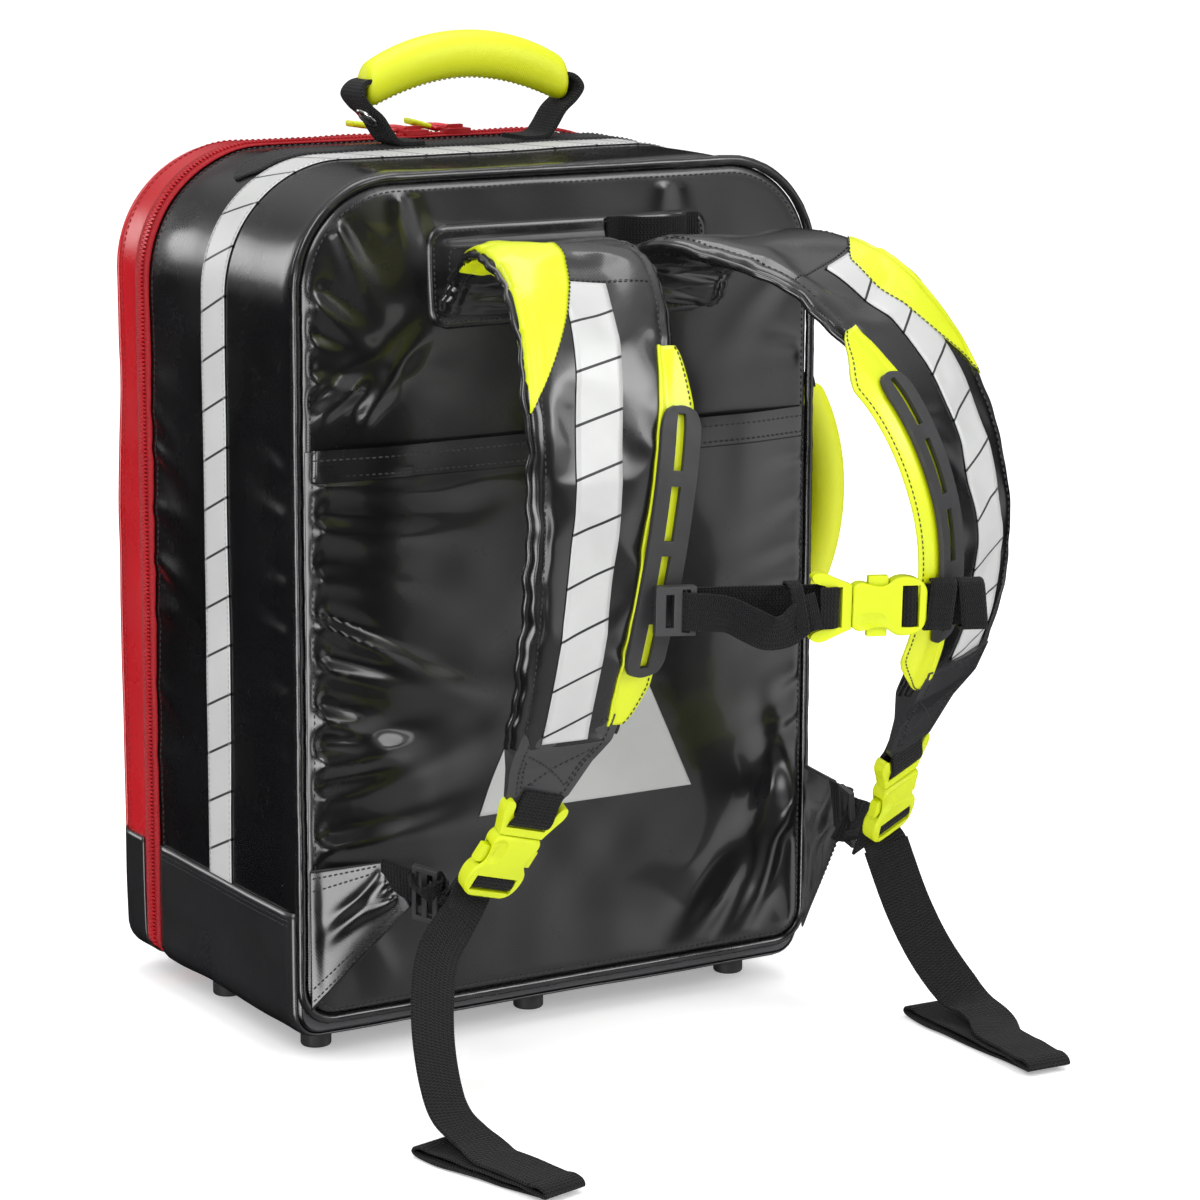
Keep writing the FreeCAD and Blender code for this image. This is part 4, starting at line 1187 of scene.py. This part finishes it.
def build_strap(name, rows, inner, tape_shift, tape_start, accent_span, accent_width, wing_reach, seed):
    """inner is the side, along the strap's direction across, that faces the other strap."""
    surface = build_pad(name, rows, inner, seed)
    lay_tape(name, rows, surface, tape_shift, tape_start)
    lay_accent(name, rows, surface, inner, accent_span, accent_width)
    build_inner_wing(name, rows, surface, inner, wing_reach)
    build_ladder(name, rows, inner)


def axes_of(u, across):
    """Axes of a flat fitting: u along it, v across it, n out of its face."""
    u = unit(u)
    across = np.asarray(across, float)
    v = unit(across - u * (across @ u))
    return u, v, np.cross(u, v)


def carry(points, origin, axes):
    """Points given as (u, v, n) in a fitting's axes, in the maker's frame."""
    u, v, n = axes
    points = np.asarray(points, float)
    return np.asarray(origin) + points[..., :1] * u + points[..., 1:2] * v + points[..., 2:] * n


BUCKLE_LENGTH = 50.0
LEFT_END, LEFT_TIP = np.array([-78.0, -98, 146]), np.array([-95.0, -74, 99])
RIGHT_END, RIGHT_TIP = np.array([138.0, -106, 149]), np.array([145.0, -84, 105])


def build_end(name, rows, end_point, tip_point):
    """The sewn flap below a pad, and the webbing in both ends of its buckle."""
    centre, across, out, half = strap_frame(rows, len(rows) - 1)
    run = end_point - centre
    f = np.linspace(-0.34, 0.88, 26)
    width = np.interp(f, [-0.34, 0.05, 0.80, 0.88], [half - 3.5, half - 3.0, 17.5, 13.5])
    rise = np.interp(f, [-0.34, 0.0, 0.35, 0.88], [PAD_RISE + 1.6, PAD_RISE + 1.3, 2.6, 1.5])
    a = np.linspace(-1, 1, 12)
    rings = []
    for k in range(len(f)):
        bow = rise[k] * (1 - 0.18 * np.abs(a) ** 4)
        line = centre + run * f[k] + across * (a * width[k])[:, None]
        rings.append(np.concatenate([line + out * bow[:, None], (line - out * bow[:, None])[::-1]], 0))
    points = np.array(rings)
    # The flap's grey material is black cloth with painted reflection in its base colour.
    flap = grid("end_flap_" + name, points, "pack", pvc_flap_painted_reflection, wrap=(False, True), caps=True)
    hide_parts("strap_end_flap_" + name)
    top = points[:, :12]

    def on_flap(i, j):
        i, j = min(max(i, 0), 24.999), min(max(j, 0), 10.999)
        i0, j0 = int(i), int(j)
        fi, fj = i - i0, j - j0
        near = top[i0, j0] * (1 - fj) + top[i0, j0 + 1] * fj
        return near * (1 - fi) + (top[i0 + 1, j0] * (1 - fj) + top[i0 + 1, j0 + 1] * fj) * fi

    border = [(1.2, 1), (1.2, 10), (22, 9.6), (22, 1.4), (1.2, 1)]
    cross = [(9, 1.6), (20, 9.0), (9, 9.4), (20, 2.0), (9, 1.6)]
    for route in (border, cross):
        line = []
        for (i0, j0), (i1, j1) in zip(route[:-1], route[1:]):
            line += [on_flap(i0 + (i1 - i0) * q, j0 + (j1 - j0) * q) for q in np.linspace(0, 1, 14)[:-1]]
        sew("pack", np.array(line) + out * 0.1, out, 3.0, 2.3, 0.45)

    axes = axes_of(tip_point - end_point, across)
    route = [(-14, 0, 1.2), (-8, 0, 1.9), (-3, 0, 3.4), (1.5, 0, 4.3), (4.9, 0, 3.0), (5.5, 0, 0),
             (5.0, 0, -3.0), (2, 0, -4.6), (-3, 0, -4.4), (-9, 0, -2.6), (-17, 0, -1.2)]
    path = carry(curve_through(route, 60), end_point, axes)
    tongue = ribbon("tongue_" + name, path, axes[1], WEBBING - 1, 1.8, "pack", webbing)
    route = [(66, 0, -9.0), (54, 0, -7.4), (45, 0, -6.6), (38.6, 0, -4.2), (37.6, 0, 0), (38.6, 0, 3.0),
             (41.6, 0, 4.0), (44.4, 0, 2.6), (45.6, 0, -1), (47.5, 0, -4.2), (52, 0, -5.6)]
    tail = np.array(TAILS[name][0][:2], float)
    path = np.concatenate([carry(route, end_point, axes), tail[:1], [tail[0] * 0.4 + tail[1] * 0.6]])
    path = curve_through(path, 90)
    share = smooth((lengths(path) / lengths(path)[-1] - 0.62) / 0.36)[:, None]
    turned = axes[1] * (1 - share) + np.array(TAILS[name][1]) * share
    loop = ribbon("buckle_loop_" + name, path, turned, WEBBING - 0.6, 1.7, "pack", webbing)
    return axes


# Side, height of its top seam on the case, upper and lower corner of its tip, where its webbing leads
# first, and the upper end of the buckle that it runs to.
WINGS = {
    "left": (-1, 106, (-124, -35, 114), (-112, -41, 91), (-98, -66, 97), LEFT_END),
    "right": (1, 124, (152, -28, 118), (155, -31, 93), (147, -74, 99), RIGHT_END),
}


def build_wing(name, side, base_high, tip_high, tip_low, lead, pad_end, end_axes):
    """The gusset that pulls the case to the wearer: two layers of coated cloth, its hems sewn."""
    tip_high, tip_low, lead = (np.array(p, float) for p in (tip_high, tip_low, lead))
    base = np.array([PANEL_HALF - 4.0, -7.6, 0] if side > 0 else [-PANEL_HALF - 1.0, -5.6, 0])
    u, v = mesh_of(np.linspace(0, 1, 44), np.linspace(0, 1, 34))
    upper = base + Z * base_high + (tip_high - base - Z * base_high) * u[..., None]
    lower = base + Z * 32 + (tip_low - base - Z * 32) * u[..., None]
    flat = lower + (upper - lower) * v[..., None]
    out = unit(np.array([side * 0.55, -0.84, 0.0]))
    relief = 1.1 * noise(u * 60, v * 70, 26.0, 51 + side) * (1 - u) * smooth(u * 5)
    for start, angle, depth in ((0.25, 0.12, 1.8), (0.5, -0.05, 1.5), (0.72, -0.2, 1.7), (0.9, -0.3, 1.1)):
        height = (v - 0.5) * 70 * (1 - 0.6 * u)
        relief = relief + pleat((1 - u) * 60, height, 4, (start - 0.5) * 22, angle, 54, 4.0, depth)
    relief = relief + 1.5 * np.sin(math.pi * v) * np.sin(math.pi * u)
    points = flat + out * (relief * smooth(u * 6) * smooth((1 - u) * 8) )[..., None]
    wing = grid("gusset_" + name, points, "pack", pvc_strap)
    round_off(thicken(wing, 2.4, 0.0))
    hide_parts("lower_wing_" + name)
    for column in (2, 5, 28, 31):
        for face in (1, -1):
            sew("pack", points[1:-3, column] + out * face * 1.4, out * face, 3.0, 2.3)

    middle = (tip_high + tip_low) / 2
    axes = axes_of(lead - middle, tip_high - tip_low)
    span = np.linalg.norm(lead - middle)
    far = carry((BUCKLE_LENGTH + 12, 0, -8.4), pad_end, end_axes)
    route = [(-9, 0, 1.6), (0, 0, 1.9), (7, 0, 1.2), (11, 0, 0.4), (17, 0, 5.2), (20, 0, 4.6), (24, 0, 0.8)]
    before = carry((span * 0.72, 0, -2), middle, axes)
    path = curve_through([*carry(route, middle, axes), before, far], 70)
    share = smooth(lengths(path) / lengths(path)[-1])[:, None]
    across = axes[1] * (1 - share) + end_axes[1] * share * np.sign(axes[1] @ end_axes[1])
    band = ribbon("gusset_webbing_" + name, path, across, WEBBING, 1.8, "pack", webbing)
    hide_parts("lower_webbings")


# The same routes as the frame's free webbing ends, in millimetres.
LEFT_TAIL = [(-104, -74, 91), (-115, -79, 84), (-127, -89, 73), (-140, -110, 52), (-147, -129, 32),
             (-149, -143, 18), (-146, -157, 12)]
RIGHT_TAIL = [(147, -82, 96), (151, -86, 80), (156, -91, 62), (164, -98, 41), (173, -106, 24),
              (179, -113, 15), (180, -126, 12)]
# Route, direction across, start of the fold, its heading and its length, seed.
TAILS = {
    "left": (LEFT_TAIL, (0.94, 0.34, 0.0), (-156, -139, 0.2), (0.24, -0.97, 0), 94.0, 71),
    "right": (RIGHT_TAIL, (0.97, -0.24, 0.0), (174, -82, 0.2), (-0.04, -1, 0), 118.0, 73),
}


def nurbs_points(name, route):
    """Points along a smooth NURBS line whose control points are the route."""
    curve = bpy.data.curves.new(name + "_route", "CURVE")
    curve.dimensions = "3D"
    spline_ = curve.splines.new("NURBS")
    spline_.points.add(len(route) - 1)
    for point, corner in zip(spline_.points, route):
        point.co = (*(np.array(corner) * MM + ORIGIN), 1)
    spline_.order_u = 3
    spline_.use_endpoint_u = True
    spline_.resolution_u = 12
    holder = bpy.data.objects.new(name + "_route", curve)
    mesh = bpy.data.meshes.new_from_object(holder)
    points = [tuple(v.co) for v in mesh.vertices]
    bpy.data.objects.remove(holder)
    bpy.data.curves.remove(curve)
    bpy.data.meshes.remove(mesh)
    return points


def build_tail(name, route, across, fold_start, heading, fold_length, seed):
    """A free webbing end: it hangs to the ground and lies there folded in three."""
    u, v, _ = axes_of(heading, across)
    fold_start = np.array(fold_start)
    rng = np.random.default_rng(seed)
    start = np.array(route[-1], float)

    def layer(x0, x1, height, fall, swing):
        points = []
        for f in np.linspace(0.12, 0.95, 6):
            lift = height + rng.uniform(-0.3, 0.4) - fall * f
            points.append(fold_start + u * (x0 + (x1 - x0) * f) + v * swing * (f - 0.5) + Z * max(lift, 1.2))
        return points

    first = (start - fold_start) @ u + 16
    far = fold_length - 12
    run = [*route, start + u * 9 - Z * 2.6, *layer(first, far, 7.6, 0.5, -2.4)]
    line = nurbs_points("strap_end_" + name, run)
    path = (np.array(line) - ORIGIN) / MM
    tail = ribbon("strap_end_" + name, path, across, WEBBING, 1.6, "pack", webbing)
    edge = np.array(run[-1])
    turn = [edge, edge + u * 5 + Z * 0.6, edge + u * 10 - Z * 0.9, edge + u * 9.5 - Z * 3.6]
    back_turn = [fold_start + u * 5 + Z * 5.8, fold_start + u * 0.5 + Z * 4.6, fold_start + u * 1.5 + Z * 1.9]
    rest = [*turn, *layer(far, 8, 4.9, 0.0, 2.0), *back_turn, *layer(8, fold_length - 4, 1.5, 0.0, 5.0)]
    folds = ribbon("strap_folds_" + name, curve_through(rest, 170), v, WEBBING, 1.5, "pack", webbing)
    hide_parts("strap_tail_" + name)
    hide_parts("strap_fold_" + name)


def build_chest():
    """The chest strap's webbing, from the hook to the right strap, and its keepers."""
    left, across, out, half = strap_frame(LEFT_STRAP, 5.5)
    left = left + across * (half + 4) + out * 15.6
    right_end, across, out, half = strap_frame(RIGHT_STRAP, 5.8)
    right_end = right_end - across * (half + 4) + out * 22
    axes = axes_of(right_end - left, Z)
    span = np.linalg.norm(right_end - left)
    clip = span * 0.52
    width = CHEST_WEBBING
    route = [(13, 0, -3.6), (20, 0, -4.4), (clip * 0.5, 0, -4.8), (clip - 12, 0, -4.3), (clip - 2, 0, -4.4),
             (clip + 4, 0, -3.0), (clip + 5.6, 0, 0.2), (clip + 3, 0, 3.6), (clip - 4, 0, 4.6)]
    path = carry(curve_through(route, 70), left, axes)
    back_layer = ribbon("chest_webbing_back", path, axes[1], width, 1.6, "pack", webbing_dark)
    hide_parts("chest_webbing_left")
    route = [(8.8, 0, -3.2), (6.2, 0, -1), (8.2, 0, 3.4), (14, -0.4, 4.2), (clip * 0.36, -1.6, 5.2),
             (clip * 0.50, -6.5, 7.5), (clip * 0.62, -10.5, 9.0), (clip * 0.74, -9.0, 8.0),
             (clip * 0.84, -3.0, 6.4), (clip - 5, -0.4, 5.4)]
    path = carry(curve_through(route, 90), left, axes)
    run = lengths(path) / lengths(path)[-1]
    lean = np.sin(math.pi * np.clip((run - 0.25) / 0.7, 0, 1))[:, None]
    across = axes[1] + axes[0] * 0.55 * np.cos(run * 11)[:, None] * lean + axes[2] * 0.35 * lean
    front = ribbon("chest_webbing_front", path, across, width - 2, 1.4, "pack", elastic)
    route = [(clip + 70, 0, -1.5), (clip + 51, 0, -5.2), (clip + 45, 0, -5.6), (clip + 38.6, 0, -3.8),
             (clip + 37.6, 0, 0), (clip + 38.8, 0, 3.0), (clip + 41.6, 0, 3.9), (clip + 44.4, 0, 2.5),
             (clip + 46.5, 0, -0.5), (clip + 50.5, 0, 0.6), (clip + 57, 0, 1.6), (span - 12, 0, 1.4),
             (span + 3, 0, -1.0)]
    path = carry(curve_through(route, 110), left, axes)
    adjust = ribbon("chest_webbing_adjust", path, axes[1], width, 1.4, "pack", webbing_dark)
    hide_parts("chest_webbing_right")
    route = [(clip + 56, 0, -1.4), (clip + 66, 0, -1.2), (span - 10, 0, -1.2), (span + 6, 0, -2.2)]
    path = carry(curve_through(route, 30), left, axes)
    under = ribbon("chest_webbing_under", path, axes[1], width, 1.4, "pack", webbing_dark)
    for name, place, size, extra, lean in (
        ("end", clip - 15, 6.5, 0.3, -0.2), ("near", clip + 57, 13, 0.4, 0.1),
        ("far", clip + 73, 13, 1.0, -0.12),
    ):
        ring = []
        for angle in np.linspace(0, 2 * math.pi, 40, endpoint=False):
            c, s = math.cos(angle), math.sin(angle)
            v = math.copysign(abs(c) ** 0.35, c) * (width / 2 + 2.2)
            n = math.copysign(abs(s) ** 0.6, s) * (4.2 + extra)
            ring.append((v, n if name != "end" else n * 1.7 + 0.4))
        ring = np.array(ring)
        u = np.linspace(-size / 2, size / 2, 7)
        points = np.stack([np.stack([place + uu + lean * ring[:, 0], ring[:, 0], ring[:, 1]], 1) for uu in u])
        keeper = grid("chest_keeper_" + name, carry(points, left, axes), "pack", elastic, wrap=(False, True))
        thicken(keeper, 1.2, 0.0)


# ---------------------------------------------------------------- carry handles
def build_handle(name, body, seat, axes, grip_node, webbing_node):
    """A moulded grip on webbing legs; its axes are along it, across it and away from the case."""
    t = np.linspace(-1, 1, 44)
    x = 61 * t
    z = 47 - 14 * (t * 61 / 56) ** 2
    centre = np.stack([x, x * 0, z], 1)
    along = tangents(centre)
    up = np.stack([-along[:, 2], along[:, 1] * 0, along[:, 0]], 1)
    belly = 1 - 0.16 * np.abs(t) ** 3
    angle = np.linspace(0, 2 * math.pi, 26, endpoint=False)
    rings = []
    for k in range(len(t)):
        ends = smooth((1 - abs(t[k])) / 0.07) ** 0.5
        wide = (11.2 * belly[k]) * (0.74 + 0.26 * ends)
        high = (12.4 * belly[k]) * (0.74 + 0.26 * ends)
        drop = np.sin(angle)
        lean = -0.62 * t[k] * abs(t[k]) ** 5
        rings.append(centre[k] + np.array([0, 1.0, 0]) * (np.cos(angle) * wide)[:, None]
                     + up[k] * (drop * high)[:, None] + along[k] * (drop * high * lean)[:, None])
    points = np.array(rings)
    grip = grid(name + "_cover", carry(points[:, ::-1], seat, axes), body, grip_lime, wrap=(False, True),
                caps=True)
    round_off(grip)
    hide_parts(grip_node)
    seam = carry(points[2:-2, 19] + [0, 0, -0.1], seat, axes)
    sew(body, seam, -axes[2], 3.0, 2.2, 0.4, "lime")
    for side, label in ((-1, "near"), (1, "far")):
        route = [(30, 2.0), (38, 1.8), (45, 3.0), (49.5, 8), (55, 16), (62, 22), (66, 28), (63, 33.5),
                 (55, 35)]
        path = curve_through([(side * a, 0, b) for a, b in route], 60)
        broad = (WEBBING - 1.5) * (1 - 0.34 * smooth((np.linspace(0, 1, 60) - 0.72) / 0.2))
        leg = ribbon(name + "_leg_" + label, carry(path, seat, axes), axes[1], broad, 2.6, body, webbing)
        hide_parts(webbing_node)
        for edge in (-9.5, 9.5):
            line = curve_through([(side * a, edge, b) for a, b in route[3:7]], 20)
            normal = np.stack([side * 0.72 + line[:, 0] * 0, line[:, 1] * 0, line[:, 0] * 0 - 0.7], 1)
            sew(body, carry(line + normal * 1.4, seat, axes), carry(normal, 0 * seat, axes), *FINE_STITCH)


def build_base_strip(name, s_of, start, end, middle, node):
    """The long webbing under a handle's feet, with pointed ends."""
    a = np.linspace(0, 1, 90)
    place = start + (end - start) * a
    half = WEBBING / 2 * np.clip(np.minimum(a, 1 - a) * abs(end - start) / 11 + 0.1, 0, 1)
    w = np.linspace(-1, 1, 9)
    s = np.repeat(s_of(place)[:, None], 9, 1)
    if s[0, 0] > s[-1, 0]:
        s, half = s[::-1], half[::-1]
    y = middle + half[:, None] * w[None]
    strip = grid(name, case_points(s, y, 0.25), "pack", webbing_strip)
    thicken(strip, 1.3)
    if node:
        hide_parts(node)
    for edge in (-1, 1):
        line = case_points(s[3:-3, 0], middle + edge * (half[3:-3] - 2.2), 1.6)
        sew("pack", line, outline_normals(line), *FINE_STITCH)


def build_handles():
    """The top handle and the side handle, with the top one's snap."""
    seat = np.array([HANDLE_X, HANDLE_Y, TOP + 1.5])
    axes = (np.array([1.0, 0, 0]), np.array([0, 1.0, 0]), Z)
    build_handle("top_handle", "carry_handle", seat, axes, "carry_handle_grip", "carry_handle_webbing")
    build_base_strip("handle_strip", s_top, -128.0, 128.0, HANDLE_Y, "handle_base_strip")
    side_low, side_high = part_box("side_handle_grip")
    side_z = (local(side_low)[2] + local(side_high)[2]) / 2
    side_y = (local(side_low)[1] + local(side_high)[1]) / 2
    seat = np.array([HALF + 0.5, side_y, side_z])
    axes = (-Z, np.array([0, 1.0, 0]), np.array([1.0, 0, 0]))
    build_handle("flank_handle", "side_handle", seat, axes, "side_handle_grip", "side_handle_webbing")
    build_base_strip("flank_strip", s_right, side_z - 92, side_z + 92, side_y, None)
    slope = unit(np.array([-13.0, 0, 10]))
    outward = np.array([-slope[2], 0, slope[0]])
    place = np.array([HANDLE_X, HANDLE_Y, TOP + 1.5]) + np.array([-56.5, 0, 17]) + outward * 1.6
    dome = [(0.1, -0.6), (7.0, -0.6), (7.2, 0.2), (6.9, 0.9), (6.0, 1.1), (5.4, 1.0), (5.0, 1.5), (3.8, 2.4),
            (2.2, 2.9), (0.1, 3.05)]
    snap = lathe("snap_cap", dome, place, outward, "carry_handle", steel)
    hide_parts("handle_snap")


def build_pull(name, x):
    """A slider's pull: a loop of cord and a moulded tab on it."""
    deck = TOP + 1.6
    y = ZIP_MIDDLE
    low, high = (local(c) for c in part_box("slider_pull_" + name))
    rise = 3.2
    route = [(x - 3, y + 4, deck + 3.2), (x - 1, y + 8, deck + 2.6), (x - 4, y + 12, deck + rise),
             (x - 9, y + 15.5, deck + rise), (x - 13.5, y + 14.5, deck + rise),
             (x - 12.5, y + 11, deck + rise),
             (x - 8, y + 8.4, deck + 2.0), (x - 5, y + 5.0, deck + 2.6)]
    closed = np.array([spline([*route[-2:], *route, *route[:3]], 2 + k * len(route) / 60) for k in range(60)])
    loop = tube("pull_cord_" + name, closed, 1.5, "zip_slider_" + name, slider_paint, closed=True)
    length = high[0] - low[0] - 14
    f = np.linspace(0, 1, 30)
    width = 5.0 * np.clip(np.minimum(f, 1 - f) * 14 + 0.45, 0, 1) * (1 - 0.12 * np.sin(math.pi * f))
    ribs = 0.28 * np.sin(f * math.pi * 13) ** 2 * (f > 0.28)
    thick = 1.5 * np.clip(np.minimum(f, 1 - f) * 16 + 0.4, 0, 1) + ribs
    centre = np.stack([x - 10 - f * (length + 1), y + 13 + 0 * f, deck + 3.0 + 3.4 * f], 1)
    angle = np.linspace(0, 2 * math.pi, 20, endpoint=False)
    ring_y = np.sign(np.cos(angle)) * np.abs(np.cos(angle)) ** 0.5
    ring_z = np.sign(np.sin(angle)) * np.abs(np.sin(angle)) ** 0.6
    wide = width[:, None] * ring_y
    points = centre[:, None] + np.stack([0 * wide, wide, thick[:, None] * ring_z], -1)
    tab = grid("pull_tab_" + name, points, "zip_slider_" + name, plastic_lime, wrap=(False, True), caps=True)
    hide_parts("slider_pull_" + name)


# ---------------------------------------------------------------- the frame's own hard pieces
def finish_hard_pieces():
    """Materials and soft edges on the frame's pieces that stay visible."""
    looks = {
        "back_stiffener": board, "bottom_board": board, "rubber_feet": rubber_foot, "lid_pocket": pocket_film,
        "zip_slider_a": slider_paint, "zip_slider_b": slider_paint, "tri_glides": plastic_grey,
        "chest_hook": plastic_grey,
    }
    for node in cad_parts:
        thing = bpy.data.objects.get(node)
        if thing is None or thing.hide_render:
            continue
        look = looks.get(node)
        if look is None and "buckle" in node:
            look = plastic_lime
        if look is None:
            raise ValueError("no look for " + node)
        thing.data.materials.clear()
        thing.data.materials.append(look)
        weld = thing.modifiers.new("weld", "WELD")
        weld.merge_threshold = 0.00002
        small = "prong" in node or "slider" in node
        bevel(thing, 0.35 if small else 0.5, 42).harden_normals = True


# ---------------------------------------------------------------- studio
def build_studio():
    """Floor, lamps and the painted surroundings."""
    size = FLOOR_HALF
    mesh = bpy.data.meshes.new("floor")
    corners = [(-size, -size, 0), (size, -size, 0), (size, size, 0), (-size, size, 0)]
    mesh.from_pydata(corners, [], [(0, 1, 2, 3)])
    floor = bpy.data.objects.new("floor", mesh)
    bpy.context.scene.collection.objects.link(floor)
    paper = Look("paper", (0.93, 0.93, 0.93), 0.9, Specular_IOR_Level=0.1)
    paper.raise_by(paper.cloud(40.0), 0.05, 0.1)
    paper.shader.inputs["Emission Color"].default_value = (1, 1, 1, 1)
    paper.shader.inputs["Emission Strength"].default_value = 0.34
    mesh.materials.append(paper.material)
    floor.visible_glossy = False

    for name, place, size_x, size_y, power in (
        ("key", (-1.7, -1.3, 2.1), 1.1, 1.5, 34.0),
        ("fill", (1.5, -2.0, 1.4), 1.2, 1.2, 14.0),
        ("top", (0.2, 0.3, 2.6), 1.6, 1.6, 26.0),
    ):
        data = bpy.data.lights.new(name, "AREA")
        data.shape = "RECTANGLE"
        data.size = size_x
        data.size_y = size_y
        data.energy = power
        lamp = bpy.data.objects.new(name, data)
        lamp.location = place
        aim = Vector((0.0, 0.0, 0.22)) - Vector(place)
        lamp.rotation_euler = aim.to_track_quat("-Z", "Y").to_euler()
        bpy.context.scene.collection.objects.link(lamp)

    world = bpy.data.worlds.new("studio")
    bpy.context.scene.world = world
    world.use_nodes = True
    nodes, links = world.node_tree.nodes, world.node_tree.links
    background = nodes["Background"]
    direction = nodes.new("ShaderNodeTexCoord").outputs["Generated"]

    def lobe(centre, inner, outer, level):
        """A soft patch of light round a direction; inner and outer are angles in degrees."""
        dot = nodes.new("ShaderNodeVectorMath")
        dot.operation = "DOT_PRODUCT"
        links.new(direction, dot.inputs[0])
        dot.inputs[1].default_value = Vector(centre).normalized()
        made = nodes.new("ShaderNodeMapRange")
        made.interpolation_type = "SMOOTHSTEP"
        made.inputs["From Min"].default_value = math.cos(math.radians(outer))
        made.inputs["From Max"].default_value = math.cos(math.radians(inner))
        made.inputs["To Min"].default_value = 0.0
        made.inputs["To Max"].default_value = level
        links.new(dot.outputs["Value"], made.inputs["Value"])
        return made.outputs[0]

    total = lobe((0, 0, 1), 10, 84, 1.0)
    for centre, inner, outer, level in (
        ((0.82, -0.56, -0.15), 10, 33, 1.1),
        ((0.40, -0.50, -0.77), 10, 50, 0.45),
        ((-0.81, -0.49, -0.20), 8, 24, 8.0),
        ((-0.25, -0.95, -0.15), 4, 12, 6.0),
        ((0.45, -0.75, 0.48), 5, 16, 5.0),
        ((-0.50, 0.80, 0.22), 4, 13, 5.0),
    ):
        add = nodes.new("ShaderNodeMath")
        add.operation = "ADD"
        links.new(total, add.inputs[0])
        links.new(lobe(centre, inner, outer, level), add.inputs[1])
        total = add.outputs[0]
    links.new(total, background.inputs["Strength"])
    background.inputs["Color"].default_value = (1, 1, 1, 1)
    bpy.context.scene.view_settings.view_transform = "Standard"


build_case()
build_zip()
build_lid()
build_panel()
build_patch_and_anchor()
build_strap("left", LEFT_STRAP, 1, -2, 2.85, (1.3, 4.0), 36.0, 10.0, 61)
build_strap("right", RIGHT_STRAP, -1, 6, 2.85, (2.7, 4.2), 31.0, 24.0, 67)
end_axes = {
    "left": build_end("left", LEFT_STRAP, LEFT_END, LEFT_TIP),
    "right": build_end("right", RIGHT_STRAP, RIGHT_END, RIGHT_TIP),
}
for wing_name, settings in WINGS.items():
    build_wing(wing_name, *settings, end_axes[wing_name])
for tail_name, settings in TAILS.items():
    build_tail(tail_name, *settings)
build_chest()
build_handles()
build_pull("a", 8)
build_pull("b", 34)
thread_grey = moulded("thread_grey", (0.3, 0.3, 0.3), (0.4, 0.4, 0.4), 0.6, 0.1)
thread_lime = moulded("thread_lime", (0.6, 0.66, 0.01), (0.5, 0.56, 0.01), 0.6, 0.1)
build_thread({"black": thread_black, "red": thread_red, "grey": thread_grey, "lime": thread_lime})
finish_hard_pieces()
build_studio()
